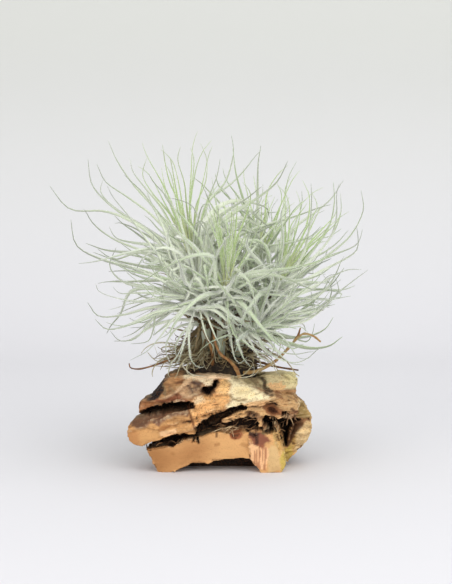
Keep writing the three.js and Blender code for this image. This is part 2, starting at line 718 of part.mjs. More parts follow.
function crownSolid(sockets) {
  const bottom = CROWN.seat + GAP;
  const profile = [[0, bottom], [0.92, bottom], [1, 52], [0.98, 58], [0.8, 63], [0.45, 66], [0, CROWN.top]];
  const dome = new THREE.LatheGeometry(profile.map((point) => new THREE.Vector2(...point)), 14)
    .rotateX(Math.PI / 2)
    .scale(CROWN.across, CROWN.deep, 1)
    .translate(CROWN.x, CROWN.y, 0);
  return sockets.reduce((crown, socket) => crown.subtract(socket), solidOf(dome));
}

const skirtPoint = (bearing, share, z) =>
  new THREE.Vector3(
    CROWN.x + share * Math.cos(bearing) * CROWN.across,
    CROWN.y + share * Math.sin(bearing) * CROWN.deep,
    z,
  );

// The band of leaf bases that a dry fan hangs from, which follows the crown's side.
function skirtBand({ from, to }) {
  const steps = 4;
  const inner = 1 + (GAP + 0.3) / CROWN.deep;
  const outer = inner + SKIRT.thickness / CROWN.deep;
  const sections = Array.from({ length: steps + 1 }, (_, i) => {
    const bearing = radians(mix(from, to, i / steps));
    return [
      skirtPoint(bearing, inner, SKIRT.low), skirtPoint(bearing, outer, SKIRT.low),
      skirtPoint(bearing, outer, SKIRT.high), skirtPoint(bearing, inner, SKIRT.high),
    ];
  });
  return loftSolid(sections);
}

// A dry leaf leaves the crown nearly level, then sags and ends in a loose curl.
function drySpine(fan, random) {
  const bearing = radians(mix(fan.from + 6, fan.to - 6, random()));
  const root = skirtPoint(bearing, 1 + 1.6 / CROWN.deep, mix(SKIRT.low + 1, SKIRT.high - 1, random()));
  const length = mix(...SKIRT.reach, random());
  const sag = mix(0.3, 0.9, random());
  const curl = mix(-2.6, 2.6, random());
  const lift = mix(0.25, 0.8, random());
  const steps = 12;
  const points = [root];
  for (let i = 0; i < steps; i++) {
    const share = (i + 0.5) / steps;
    const turn = bearing + curl * share ** 2;
    const heading = new THREE.Vector3(Math.cos(turn), Math.sin(turn), lift - (sag + lift) * share * 1.6);
    points.push(points.at(-1).clone().addScaledVector(heading.normalize(), length / steps));
  }
  return new THREE.CatmullRomCurve3(points, false, "centripetal");
}

const STALK_STEPS = 12;

function stalkRun({ name, thick, thin, path }) {
  const curve = new THREE.CatmullRomCurve3(path.map(vector), false, "centripetal");
  const run = curve.getSpacedPoints(STALK_STEPS);
  return { name, path: run, radii: run.map((_, i) => mix(thick, thin, i / STALK_STEPS)) };
}

// The hole that a stem or stalk stands in: its own shape, grown by the gap all round.
function socket(path, radii, sides) {
  const [first, second] = path;
  const start = first.clone().add(first.clone().sub(second).setLength(GAP));
  return rod([start, ...path.slice(1)], radii.map((radius) => radius + GAP), sides);
}

// ---------------------------------------------------------------- the whole plant

const plant = new THREE.Group();
const stemPaths = ROSETTES.map(stemPath);
stemPaths.forEach((path, i) => {
  const balls = ballsAlong(path, stemRadii(path), ROSETTES[i].name);
  balls.forEach((ball) => thicket.add({ ...ball, travel: 0 }));
});
for (const rosette of ROSETTES) {
  const frame = rosetteFrame(rosette);
  for (const tier of Object.values(TIERS)) {
    const ends = [frame.at(tier.low), frame.at(tier.high - BALL_STEP)];
    const balls = ballsAlong(ends, [tier.radius, tier.radius], rosette.name);
    balls.forEach((ball) => thicket.add({ ...ball, travel: 0 }));
  }
}
const stalks = STALKS.map(stalkRun);
stalks.forEach(({ name, path, radii }) => {
  ballsAlong(path, radii, name).forEach((ball) => thicket.add(ball));
});

const started = ROSETTES.map(startRosette);
started.forEach(fillRosette);

for (const { rosette, frame, fans } of started) {
  const group = new THREE.Group();
  const stem = stemPaths[ROSETTES.indexOf(rosette)];
  group.add(piece(`${rosette.name}_stem`, rod(stem, stemRadii(stem)), stemBark));
  for (const fan of fans) {
    const leaves = fan.leaves.map((leaf) => leafSolid(leaf, frame.along));
    const solid = wasm.Manifold.union([wedgeSolid(frame, fan.tier, fan.wedge), ...leaves]);
    group.add(piece(fan.name, solid, leafOf[fan.tierName]));
  }
  plant.add(group);
}

const sockets = [
  ...stemPaths.map((path) => socket(path, stemRadii(path), 7)),
  ...stalks.map(({ path, radii }) => socket(path, radii, 6)),
];
const crown = crownSolid(sockets);
plant.add(piece("root_crown", crown, woodyCrown));
stalks.forEach(({ name, path, radii }) => plant.add(piece(name, rod(path, radii, 6), dryStalk)));

SKIRT.fans.forEach((fan, i) => {
  const random = stream(4242 + 31 * i);
  const leaves = [];
  for (let tries = 0; tries < GROW_TRIES && leaves.length < SKIRT.leaves; tries++) {
    const leaf = tryLeaf(drySpine(fan, random), SKIRT.width, fan.name, fan.name);
    if (leaf) leaves.push(leafSolid(leaf, new THREE.Vector3(0, 0, 1)));
  }
  plant.add(piece(fan.name, wasm.Manifold.union([skirtBand(fan), ...leaves]), dryLeaf));
});

const model = new THREE.Group();
model.add(piece("driftwood", driftwoodSolid(), driftwood));
model.add(plant);

export default model;
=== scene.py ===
# %% [markdown]
# # A tectorum air plant on its driftwood
# The real thing is a clump of seven rosettes of thread-tipped leaves, silver with fine hair, that
# has grown from one woody crown seated in a chunk of split, sawn driftwood. The CAD frame holds
# the sizes and places: fans of plain leaves, stems, stalks and the wood. This lesson regrows each
# fan as real leaves along the same lines, covers them in hair, and gives the wood its grain.

# %% Load the frame
import math
import random

import bmesh
import bpy
import numpy as np
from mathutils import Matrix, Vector, noise
from mathutils.bvhtree import BVHTree


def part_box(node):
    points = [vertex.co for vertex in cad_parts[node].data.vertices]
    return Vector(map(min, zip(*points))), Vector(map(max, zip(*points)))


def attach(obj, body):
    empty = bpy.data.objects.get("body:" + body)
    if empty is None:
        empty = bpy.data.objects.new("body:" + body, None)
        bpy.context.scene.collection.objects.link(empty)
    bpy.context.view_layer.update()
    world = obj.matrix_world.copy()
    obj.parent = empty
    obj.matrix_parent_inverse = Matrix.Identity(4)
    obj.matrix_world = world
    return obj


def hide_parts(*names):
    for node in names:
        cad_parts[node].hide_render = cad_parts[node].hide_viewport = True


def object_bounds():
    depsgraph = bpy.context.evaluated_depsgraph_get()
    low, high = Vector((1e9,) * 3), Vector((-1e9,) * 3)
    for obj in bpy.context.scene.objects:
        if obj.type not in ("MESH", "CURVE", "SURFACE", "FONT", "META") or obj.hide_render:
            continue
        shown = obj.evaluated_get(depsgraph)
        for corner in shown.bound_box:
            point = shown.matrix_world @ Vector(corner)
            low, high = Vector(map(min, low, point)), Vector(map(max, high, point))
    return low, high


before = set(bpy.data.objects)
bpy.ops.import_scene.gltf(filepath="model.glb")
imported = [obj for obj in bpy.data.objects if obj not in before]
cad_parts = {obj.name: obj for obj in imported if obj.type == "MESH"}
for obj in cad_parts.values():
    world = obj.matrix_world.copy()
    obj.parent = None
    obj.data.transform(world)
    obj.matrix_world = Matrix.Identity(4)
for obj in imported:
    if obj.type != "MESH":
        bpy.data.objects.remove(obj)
cad_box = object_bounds()
MM = 0.001
BOX_LOW, BOX_HIGH = (np.array(corner) / MM for corner in cad_box)
print("CAD nodes:", len(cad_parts), "box:", cad_box)

# %% [markdown]
# ## Camera
# A product picture of a tabletop plant is taken from a metre or so, a little above the middle of
# the plant. A long lens keeps leaves that point at the camera from looking too big. The lens
# follows from the width that the view takes in at the front of the plant.

# %% Camera
VIEW_DISTANCE = 950 * MM
VIEW_WIDTH = 241.8 * MM
VIEW_TILT = math.radians(7)
VIEW_AIM = Vector((3.2, -25, 97.9)) * MM
SENSOR_WIDTH = 36  # mm, a full-frame sensor


def place_object(name, data):
    """A new object in the scene that holds the data."""
    made = bpy.data.objects.new(name, data)
    bpy.context.scene.collection.objects.link(made)
    return made


lens = bpy.data.cameras.new("portrait_lens")
lens.sensor_fit = "HORIZONTAL"
lens.sensor_width = SENSOR_WIDTH
lens.lens = SENSOR_WIDTH * VIEW_DISTANCE / VIEW_WIDTH
lens.clip_start = 0.01
lens.clip_end = 20
camera = place_object("camera", lens)
backward = Vector((0, -math.cos(VIEW_TILT), math.sin(VIEW_TILT)))
camera.location = VIEW_AIM + VIEW_DISTANCE * backward
camera.rotation_euler = (math.pi / 2 - VIEW_TILT, 0, 0)
bpy.context.scene.camera = camera
bpy.context.scene.view_settings.view_transform = "Standard"
print("lens", round(lens.lens, 1), "mm")

# %% [markdown]
# ## Colours and nodes
# Colours are written as sRGB hex, the way a paint chart gives them, and the shader wants linear
# light, so one function turns one into the other. A second one adds a shader node: its settings
# are keywords, and an input is a value or the output that feeds it.

# %% Colour and node helpers
def linear(hex_colour):
    """An sRGB hex colour as linear RGBA."""
    parts = [int(hex_colour[i:i + 2], 16) / 255 for i in (1, 3, 5)]
    return [c / 12.92 if c <= 0.04045 else ((c + 0.055) / 1.055) ** 2.4 for c in parts] + [1.0]


def add(tree, kind, inputs=None, stops=None, **settings):
    """One new node. stops are the (place, hex colour) pairs of a colour ramp."""
    new = tree.nodes.new(kind)
    for name, value in settings.items():
        setattr(new, name, value)
    for name, value in (inputs or {}).items():
        if isinstance(value, bpy.types.NodeSocket):
            tree.links.new(value, new.inputs[name])
        else:
            new.inputs[name].default_value = value
    for i, (place, hex_colour) in enumerate(stops or []):
        elements = new.color_ramp.elements
        element = elements[i] if i < 2 else elements.new(place)
        element.position = place
        element.color = linear(hex_colour)
    return new


def new_material(name):
    """An empty node material, and the tree to fill."""
    made = bpy.data.materials.new(name)
    made.use_nodes = True
    made.node_tree.nodes.clear()
    return made, made.node_tree


def finish_material(tree, shader):
    """Wires a shader to the surface."""
    add(tree, "ShaderNodeOutputMaterial", {"Surface": shader.outputs[0]})


def shade_smooth(mesh):
    """Lets light run over the mesh's edges."""
    mesh.polygons.foreach_set("use_smooth", [True] * len(mesh.polygons))


print("helpers ready")

# %% [markdown]
# ## The set
# The plant stands on a sheet of pale paper that runs back and curves up into the backdrop, as in a
# small photo studio. One swept profile gives the floor, the curve and the wall, so the horizon
# is a soft change of light and not a line. The paper shows from its front only, so that it never
# stands between a camera behind it and the plant.

# %% Paper sweep
PAPER_FRONT, PAPER_BACK, PAPER_HALF, PAPER_TOP, PAPER_CURVE = -1600, 560, 1500, 1500, 210
CURVE_STEPS = 16
WALL_TONE_FROM = 0.25  # m above the floor

profile = [(PAPER_FRONT, 0), (0, 0), (PAPER_BACK - PAPER_CURVE, 0)]
for step in range(1, CURVE_STEPS + 1):
    turn = math.pi / 2 * step / CURVE_STEPS
    profile.append((PAPER_BACK - PAPER_CURVE + PAPER_CURVE * math.sin(turn),
                    PAPER_CURVE * (1 - math.cos(turn))))
profile.append((PAPER_BACK, PAPER_TOP))
sweep_mesh = bpy.data.meshes.new("paper_sweep")
sweep_mesh.from_pydata(
    [Vector((x, y, z)) * MM for y, z in profile for x in (-PAPER_HALF, PAPER_HALF)],
    [],
    [(2 * i, 2 * i + 1, 2 * i + 3, 2 * i + 2) for i in range(len(profile) - 1)],
)
shade_smooth(sweep_mesh)
paper_sweep = place_object("paper_sweep", sweep_mesh)

paper, tree = new_material("matte_background_paper")
where = add(tree, "ShaderNodeNewGeometry")
height = add(tree, "ShaderNodeSeparateXYZ", {"Vector": where.outputs["Position"]})
rise = add(tree, "ShaderNodeMapRange",
           {"Value": height.outputs["Z"], "From Min": 0.0, "From Max": WALL_TONE_FROM})
tone = add(tree, "ShaderNodeValToRGB", {"Fac": rise.outputs[0]},
           stops=[(0, "#d7d6d9"), (1, "#d0d1cc")])
matte = add(tree, "ShaderNodeBsdfPrincipled", {"Base Color": tone.outputs[0], "Roughness": 0.95})
clear = add(tree, "ShaderNodeBsdfTransparent")
one_sided = add(tree, "ShaderNodeMixShader",
                {0: where.outputs["Backfacing"], 1: matte.outputs[0], 2: clear.outputs[0]})
finish_material(tree, one_sided)
sweep_mesh.materials.append(paper)
print("paper sweep", len(profile), "profile points")

# %% [markdown]
# ## Light
# White walls and large soft boxes give such a picture its pale, nearly shadowless look. The world
# stands in for the walls. One box hangs above, and one stands at each side of the camera, so that
# the two open each other's shadows.

# %% Soft boxes and world
SOFT_BOXES = {
    "top_box": dict(at=(0.2, -0.3, 1.0), size=1.1, watts=5.3, tint="#ffffff"),
    "front_left_box": dict(at=(-0.8, -0.95, 0.5), size=0.9, watts=4.1, tint="#fffaf2"),
    "front_right_box": dict(at=(0.6, -1.0, 0.7), size=0.9, watts=4.0, tint="#fffdf8"),
}
for name, box in SOFT_BOXES.items():
    lamp = bpy.data.lights.new(name, "AREA")
    lamp.size = box["size"]
    lamp.energy = box["watts"]
    lamp.color = linear(box["tint"])[:3]
    holder = place_object(name, lamp)
    holder.location = box["at"]
    aim = VIEW_AIM - Vector(box["at"])
    holder.rotation_euler = aim.to_track_quat("-Z", "Y").to_euler()

world = bpy.data.worlds.new("white_room")
bpy.context.scene.world = world
world.use_nodes = True
room = world.node_tree.nodes["Background"]
room.inputs["Color"].default_value = linear("#f4f6fa")
room.inputs["Strength"].default_value = 0.84
print("lights:", ", ".join(SOFT_BOXES))

# %% [markdown]
# ## Curves
# A leaf has no straight line in it. Each one is given by a few points in mm, and a smooth curve
# is drawn through them. A shape that is carried along a curve also needs to know which way is
# sideways at each step. Turning it as little as possible from step to step keeps it from spinning.

# %% Curves
UP = np.array([0, 0, 1.0])
CURVE_PARTS = 12  # between two points, while a curve is measured


def curve_through(points, count):
    """A Catmull-Rom curve through the points, as count evenly spaced points."""
    p = np.array(points, float)
    p = np.vstack([2 * p[0] - p[1], p, 2 * p[-1] - p[-2]])
    fine = []
    for a, b, c, d in zip(p, p[1:], p[2:], p[3:]):
        for t in np.linspace(0, 1, CURVE_PARTS, endpoint=False):
            fine.append(0.5 * (2 * b + (c - a) * t + (2 * a - 5 * b + 4 * c - d) * t * t
                               + (3 * b - a - 3 * c + d) * t ** 3))
    fine = np.array(fine + [p[-2]])
    reach = np.concatenate([[0], np.cumsum(np.linalg.norm(np.diff(fine, axis=0), axis=1))])
    even = np.linspace(0, reach[-1], count)
    return np.stack([np.interp(even, reach, fine[:, k]) for k in range(3)], axis=1)


def unit(v):
    """The vector, or each row of an array of them, at length 1."""
    return v / np.maximum(np.linalg.norm(v, axis=-1, keepdims=True), 1e-9)


def ease(value, low, high):
    """0 below low, 1 above high, smooth between."""
    t = np.clip((value - low) / (high - low), 0, 1)
    return t * t * (3 - 2 * t)


def shares_along(count, stops, shares):
    """Shares at count even places along a shape, read between the stops."""
    return np.interp(np.linspace(0, 1, count), stops, shares)


def ring_of(count):
    """A round outline of count corners."""
    return [(math.cos(a), math.sin(a)) for a in np.linspace(0, 2 * math.pi, count, endpoint=False)]


def carried_frames(path, up, twist=0.0):
    """Side and face directions at each point, carried along without spinning."""
    tangent = unit(np.gradient(path, axis=0))
    face = unit(up - tangent[0] * np.dot(up, tangent[0]))
    faces = []
    for t in tangent:
        face = unit(face - t * np.dot(face, t))
        faces.append(face)
    faces = np.array(faces)
    sides = np.cross(tangent, faces)
    turn = np.linspace(0, twist, len(path))[:, None]
    sine, cosine = np.sin(turn), np.cos(turn)
    return sides * cosine + faces * sine, faces * cosine - sides * sine


print("curves ready")

# %% [markdown]
# ## Swept shapes
# Leaves, dead leaves and stalks are all one kind of shape: a small outline carried along a curve
# and shrunk towards the tip. One class gathers many such shapes into a mesh. It keeps, for each
# point, how far along its own shape it lies and a random tint, which the materials read, and it
# lays each shape out as one upright strip in a UV map of its own.

# %% Swept shapes
TIP_REACH = 0.35  # of the last step, that a shape's end point stands out
COLUMN_MARGIN, END_MARGIN, END_POINT = 0.04, 0.02, 0.004  # of the UV square's columns and height


class Growth:
    """Many swept shapes that become one mesh."""

    def __init__(self):
        self.points, self.faces, self.along, self.tint, self.strips = [], [], [], [], []
        self.count = 0

    def sweep(self, path, outline, widths, depths, up, tint=0.5, twist=0.0):
        """Carries the outline (side, face) along the path, and closes both ends."""
        sides, faces = carried_frames(path, up, twist)
        outline = np.array(outline)
        n, k = len(path), len(outline)
        across = sides[:, None] * outline[None, :, :1] * np.array(widths)[:, None, None]
        through = faces[:, None] * outline[None, :, 1:] * np.array(depths)[:, None, None]
        rings = path[:, None] + across + through
        first = self.count
        ends = np.array([path[0], path[-1] + (path[-1] - path[-2]) * TIP_REACH])
        self.points.append(np.vstack([rings.reshape(-1, 3), ends]))
        self.along.append(np.concatenate([np.repeat(np.linspace(0, 1, n), k), [0, 1]]))
        self.tint.append(np.full(n * k + 2, tint))
        base, tip, last = first + n * k, first + n * k + 1, first + (n - 1) * k
        for i in range(n - 1):
            for j in range(k):
                a, b = first + i * k + j, first + i * k + (j + 1) % k
                self.faces.append((a, b, b + k, a + k))
        self.faces += [(base, first + (j + 1) % k, first + j) for j in range(k)]
        self.faces += [(tip, last + j, last + (j + 1) % k) for j in range(k)]
        self.strips.append((n, k))
        self.count += n * k + 2
        return rings

    def lay_out(self, mesh):
        """One column of the UV square for each swept shape."""
        columns = len(self.strips)
        corners = []
        for column, (n, k) in enumerate(self.strips):
            left, span = (column + COLUMN_MARGIN) / columns, (1 - 2 * COLUMN_MARGIN) / columns
            strips = [(left + span * j / k, left + span * (j + 1) / k) for j in range(k)]
            for i in range(n - 1):
                low, high = (END_MARGIN + (1 - 2 * END_MARGIN) * ring / (n - 1)
                             for ring in (i, i + 1))
                for a, b in strips:
                    corners += [a, low, b, low, b, high, a, high]
            for a, b in strips:
                corners += [(a + b) / 2, END_POINT, b, END_MARGIN, a, END_MARGIN]
            for a, b in strips:
                corners += [(a + b) / 2, 1 - END_POINT, a, 1 - END_MARGIN, b, 1 - END_MARGIN]
        mesh.uv_layers.new(name="OFBake").data.foreach_set("uv", corners)

    def piece(self, name, material, slot, nodes=()):
        """The finished object, riding on the one body."""
        mesh = bpy.data.meshes.new(name)
        mesh.from_pydata((np.vstack(self.points) * MM).tolist(), [], self.faces)
        for label, values in (("along", self.along), ("tint", self.tint)):
            layer = mesh.attributes.new(label, "FLOAT", "POINT")
            layer.data.foreach_set("value", np.concatenate(values))
        self.lay_out(mesh)
        shade_smooth(mesh)
        mesh.materials.append(material)
        made = place_object(name, mesh)
        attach(made, "root")
        if nodes:
            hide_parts(*nodes)
        return made


print("sweeping ready")

# %% [markdown]
# ## Leaf materials
# A living leaf is soft green tissue under a felt of white hair. The felt hides most of the green
# on a grown leaf, less on a young one, and the thread at the tip is nearly bare. So the colour
# runs from felt white at the base to grey olive at the tip, with a mottle about 0.9 mm across
# where the felt is thin. The felt scatters light at grazing angles, which is what sheen does.

# %% Living leaf materials
FELT_MOTTLE = 0.9 * MM


def leaf_material(name, root, middle, thread, green, sheen):
    """Leaf tissue under felt: colours from root to thread, and the green that shows through."""
    made, tree = new_material(name)
    along = add(tree, "ShaderNodeAttribute", attribute_name="along")
    tint = add(tree, "ShaderNodeAttribute", attribute_name="tint")
    lengthwise = add(tree, "ShaderNodeValToRGB", {"Fac": along.outputs["Fac"]},
                     stops=[(0.0, root), (1.0, thread), (0.45, middle)])
    place = add(tree, "ShaderNodeTexCoord")
    felt = add(tree, "ShaderNodeTexNoise",
               {"Vector": place.outputs["Object"], "Scale": 1 / FELT_MOTTLE,
                "Detail": 3.0, "Roughness": 0.6})
    thin = add(tree, "ShaderNodeMapRange",
               {"Value": felt.outputs["Fac"], "From Min": 0.42, "From Max": 0.7,
                "To Min": 0.0, "To Max": 0.45})
    leaf_green = add(tree, "ShaderNodeMapRange",
                     {"Value": tint.outputs["Fac"], "From Min": 0.0, "From Max": 1.0,
                      "To Min": 0.0, "To Max": 0.55})
    bare = add(tree, "ShaderNodeMath", {0: thin.outputs[0], 1: leaf_green.outputs[0]},
               operation="ADD", use_clamp=True)
    blend = add(tree, "ShaderNodeMix",
                {0: bare.outputs[0], 6: lengthwise.outputs[0], 7: linear(green)}, data_type="RGBA")
    bump = add(tree, "ShaderNodeBump",
               {"Height": felt.outputs["Fac"], "Strength": 0.35, "Distance": 0.15 * MM})
    shader = add(tree, "ShaderNodeBsdfPrincipled", {
        "Base Color": blend.outputs[2], "Normal": bump.outputs[0], "Roughness": 0.75,
        "Specular IOR Level": 0.25, "Sheen Weight": sheen, "Sheen Roughness": 0.5})
    finish_material(tree, shader)
    return made


silver_felt = leaf_material("felted_silver_leaf", "#fefef5", "#e3e7d5", "#6e7165", "#a9c187", 0.8)
green_felt = leaf_material("young_green_leaf", "#f0e6b8", "#cbdba4", "#9fab78", "#aeca84", 0.4)

# A hair is a hollow, dead cell full of air: white, dull and bright at its edges.
hair, tree = new_material("white_leaf_hair")
shader = add(tree, "ShaderNodeBsdfPrincipled", {
    "Base Color": linear("#fafaf5"), "Roughness": 0.6, "Specular IOR Level": 0.3,
    "Sheen Weight": 1.0, "Sheen Roughness": 0.6})
finish_material(tree, shader)
print("leaf materials:", silver_felt.name, green_felt.name, hair.name)

# %% [markdown]
# ## Reading the leaf lines
# Each CAD leaf is a keeled triangle drawn out along a line: a point at the tip and four rings of
# three corners behind it, at set shares of the length. A tip is the only corner whose three
# neighbours all touch each other, so the lines can be walked back from it with no stored table.

# %% Leaf lines from the frame
SAME_CORNER = 2e-6  # m
RING_SHARES = (0.82, 0.6, 0.36, 0.15)


def merged_corners(node):
    """The node's corners in mm, each once, and which of them share an edge."""
    bm = bmesh.new()
    bm.from_mesh(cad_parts[node].data)
    bmesh.ops.remove_doubles(bm, verts=bm.verts, dist=SAME_CORNER)
    bm.verts.index_update()
    points = [np.array(v.co) / MM for v in bm.verts]
    near = [{e.other_vert(v).index for e in v.link_edges} for v in bm.verts]
    bm.free()
    return points, near


def leaf_lines(node):
    """The line of each leaf in a fan, from its root to its tip."""
    points, near = merged_corners(node)
    lines = []
    for tip, around in enumerate(near):
        if len(around) != 3 or any(b not in near[a] for a in around for b in around if a != b):
            continue
        rings, seen = [[tip]], {tip}
        while True:
            following = set().union(*(near[i] for i in rings[-1])) - seen
            if len(following) != 3:
                break
            seen |= following
            rings.append(sorted(following))
        if len(rings) < 3:
            continue
        line = [np.mean([points[i] for i in ring], axis=0) for ring in rings][::-1]
        if len(line) == 1 + len(RING_SHARES):  # every ring was found: draw the line on to its root
            share = RING_SHARES[3] / (RING_SHARES[2] - RING_SHARES[3])
            line.insert(0, line[0] + (line[0] - line[1]) * share)
        lines.append(np.array(line))
    return lines


lines_of = {name: leaf_lines(name) for name in sorted(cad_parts) if "leaves" in name}
print("leaf lines:", sum(len(lines) for lines in lines_of.values()), "in", len(lines_of), "fans")

# %% [markdown]
# ## Rosettes
# Each rosette of the clump is a barrel of leaf bases on the end of its own stem. It is described
# by the foot of its stem on the crown, the heart that its leaves leave from, the axis that it
# points along and the reach of its longest leaves, all in mm and in the frame's own directions.

# %% Rosettes
ROSETTES = {
    "upper_left": dict(root=(-7, 7), heart=(-18, 6, 124), axis=(-0.22, -0.06, 1), reach=86),
    "right": dict(root=(10.5, 1.5), heart=(36, -6, 109), axis=(0.48, -0.02, 0.88), reach=78),
    "front": dict(root=(0, -9), heart=(4, -29, 109), axis=(0.1, -0.42, 0.9), reach=66),
    "lower_left": dict(root=(-7, -4), heart=(-21, -28, 97), axis=(-0.8, -0.5, 0.3), reach=74),
    "lower_right": dict(root=(9, -5.5), heart=(27, -23, 81), axis=(0.8, -0.38, 0.36), reach=66),
    "top_back": dict(root=(4, 9), heart=(23, 25, 118), axis=(0.25, 0.42, 0.87), reach=70),
    "rear": dict(root=(-1, 12), heart=(-4, 42, 97), axis=(-0.12, 0.88, 0.46), reach=72),
}
BARREL = 15  # mm of leaf bases along a rosette's axis


def rosette_frame(name):
    """The foot of the barrel, its axis, and a direction across it."""
    rosette = ROSETTES[name]
    axis = unit(np.array(rosette["axis"], float))
    foot = np.array(rosette["heart"], float) - axis * BARREL
    return foot, axis, unit(np.cross(axis, np.array([0.0, 1.0, 0.0])))


print("rosettes:", ", ".join(ROSETTES))

# %% [markdown]
# ## Leaves
# A tectorum leaf is a narrow gutter: hollow above, round below, 2 to 3 mm wide where it leaves
# the rosette and drawn out to a thread. An outline of six corners gives the gutter, and it is
# carried along each CAD line with its hollow side to the rosette's axis. The root is drawn back
# into the barrel of older leaves, where it widens to a sheath.

# %% Leaf shape
GUTTER = [(0.5, 0.16), (0.0, -0.1), (-0.5, 0.16), (-0.38, -0.26), (0.0, -0.44), (0.38, -0.26)]
LEAF_STEPS = 22
WIDTH_STOPS = [0, 0.06, 0.12, 0.35, 0.6, 0.8, 1]
WIDTH_SHARES = [1.4, 1.2, 1.05, 0.88, 0.62, 0.34, 0.1]
THREAD = 0.42  # mm, the least width short of the tip
HEM = 77  # mm, the height that the leaves in front of the crown hang to
HEM_DROP, HEM_MIDDLE = 16, 5


def leaf_widths(width):
    """Width along the leaf, from sheath to thread."""
    return np.maximum(width * shares_along(LEAF_STEPS, WIDTH_STOPS, WIDTH_SHARES),
                      THREAD * shares_along(LEAF_STEPS, [0.9, 1], [1, 0.4]))


def wandering(path, rng):
    """The same leaf with a slow wave in its thread and a hook at its very tip."""
    t = np.linspace(0, 1, len(path))[:, None]
    heading = unit(path[-1] - path[len(path) // 2])
    side = unit(np.cross(heading, [rng.gauss(0, 1), rng.gauss(0, 1), rng.gauss(0, 1)]))
    wave = np.sin(t * rng.uniform(5, 9) + rng.uniform(0, 6)) * np.clip(t - 0.25, 0, 1) ** 1.5
    wave = wave * rng.uniform(0.3, 2.0)
    hook = np.clip(t - 0.84, 0, 1) ** 2 * rng.choice((0, 60, 120, 190)) * rng.choice((-1, 1))
    return path + side * (wave + hook)


def arched(line, amount):
    """The line bowed upward by the amount in mm, with its ends where they were."""
    share = np.linspace(0, 1, len(line))
    return line + np.outer(np.sin(share * math.pi) * amount, UP)


def clear_of_neck(line):
    """The line lifted where it would hang in front of the crown, which shows bare."""
    x, y, z = line.T
    hang = HEM - HEM_DROP * ease(np.abs(x - HEM_MIDDLE), 12, 24)
    return np.column_stack([x, y, np.where(z < hang, hang - (hang - z) * 0.3, z)])


def grow_leaf(growth, line, up, width, tint, rng):
    """Sweeps one living leaf, and returns its path and its surface rings for the hair."""
    twist = rng.uniform(-0.3, 0.3)
    path = wandering(curve_through(line, LEAF_STEPS), rng)
    widths = leaf_widths(width)
    depths = widths * shares_along(LEAF_STEPS, [0, 0.7, 1], [1.15, 1.1, 1.3])
    return path, growth.sweep(path, GUTTER, widths, depths, up, tint, twist)


print("leaf shape ready,", len(GUTTER), "corners round")

# %% [markdown]
# ### The leaves of the frame
# Every CAD leaf line grows one leaf here, and each fan of leaves stays one piece. Outer leaves
# bow the most, hearts stand straight. A leaf whose tip hangs below the clump is an old one: it has
# shrunk, and its hair is gone. Young hearts show green, and so do the rosettes that face the light.

# %% Leaves of the frame
HANGS_BELOW = 72
BOW = {"outer": 6, "middle": 4, "heart": 1}
WIDTH_OF_TIER = {"outer": 2.7, "middle": 2.5, "heart": 1.4}
WITHERED_WIDTH = 0.55
GREENNESS = {"upper_left": 0.45, "lower_left": 0.15, "rear": 0.4}
MOST_GREEN = 0.9
GREEN_HEARTS = ("upper_left", "right", "front", "top_back")

grown = {name: [] for name in ROSETTES}
for rosette in ROSETTES:
    foot, axis, right = rosette_frame(rosette)
    for fan in [n for n in lines_of if n.startswith(rosette + "_")]:
        rng = random.Random(fan)
        tier = next(t for t in WIDTH_OF_TIER if t in fan)
        growth = Growth()
        for line in lines_of[fan]:
            off_axis = line[0] - foot - axis * np.dot(line[0] - foot, axis)
            sheath = line[0] - axis * 5.5 - off_axis * 0.35
            bow = rng.uniform(0, BOW[tier])
            full = np.vstack([sheath, clear_of_neck(arched(line, bow))])
            width = WIDTH_OF_TIER[tier] * rng.uniform(0.85, 1.15)
            withered = line[-1][2] < HANGS_BELOW
            tint = rng.uniform(0.2, 1) * GREENNESS.get(rosette, MOST_GREEN)
            width *= WITHERED_WIDTH if withered else 1
            leaf = grow_leaf(growth, full, axis, width, tint, rng)
            if not withered:
                grown[rosette].append(leaf)
        green = tier == "heart" and rosette in GREEN_HEARTS
        growth.piece(fan + "_grown", green_felt if green else silver_felt,
                     "young_leaf" if tier == "heart" else "silver_leaf", [fan])
print("leaves regrown:", sum(len(leaves) for leaves in grown.values()))

# %% [markdown]
# ## Dead leaf material
# A dead leaf has lost its hair and dried to straw: brown where it rots at the crown, bleached to
# grey cream where it hangs in the light. The tint of each leaf picks its place between the two,
# and fibres about 1.4 mm apart streak it.

# %% Dead leaf material
FIBRE_STREAK = 1.4 * MM
dead_leaf, tree = new_material("dried_leaf_straw")
tint = add(tree, "ShaderNodeAttribute", attribute_name="tint")
straw = add(tree, "ShaderNodeValToRGB", {"Fac": tint.outputs["Fac"]},
            stops=[(0.0, "#5a4531"), (1.0, "#d0ccb6"), (0.4, "#94835f"), (0.7, "#bab08e")])
place = add(tree, "ShaderNodeTexCoord")
fibre = add(tree, "ShaderNodeTexNoise",
            {"Vector": place.outputs["Object"], "Scale": 1 / FIBRE_STREAK, "Detail": 4.0})
streak = add(tree, "ShaderNodeMapRange",
             {"Value": fibre.outputs["Fac"], "From Min": 0.35, "From Max": 0.65,
              "To Min": 0.72, "To Max": 1.1})
shaded = add(tree, "ShaderNodeVectorMath", {0: straw.outputs[0], "Scale": streak.outputs[0]},
             operation="SCALE")
bump = add(tree, "ShaderNodeBump",
           {"Height": fibre.outputs["Fac"], "Strength": 0.5, "Distance": 0.2 * MM})
shader = add(tree, "ShaderNodeBsdfPrincipled", {
    "Base Color": shaded.outputs[0], "Normal": bump.outputs[0],
    "Roughness": 0.8, "Specular IOR Level": 0.3})
finish_material(tree, shader)
print("material:", dead_leaf.name)

# %% [markdown]
# ### Lines for more leaves
# The clump has more leaves than the frame can hold. Their lines are grown by a rule: a leaf
# leaves its stem at a slant, leans out more and more, wanders sideways and may hook at its tip.
# Each line is kept inside the plant's own box, and clear of the bare crown.

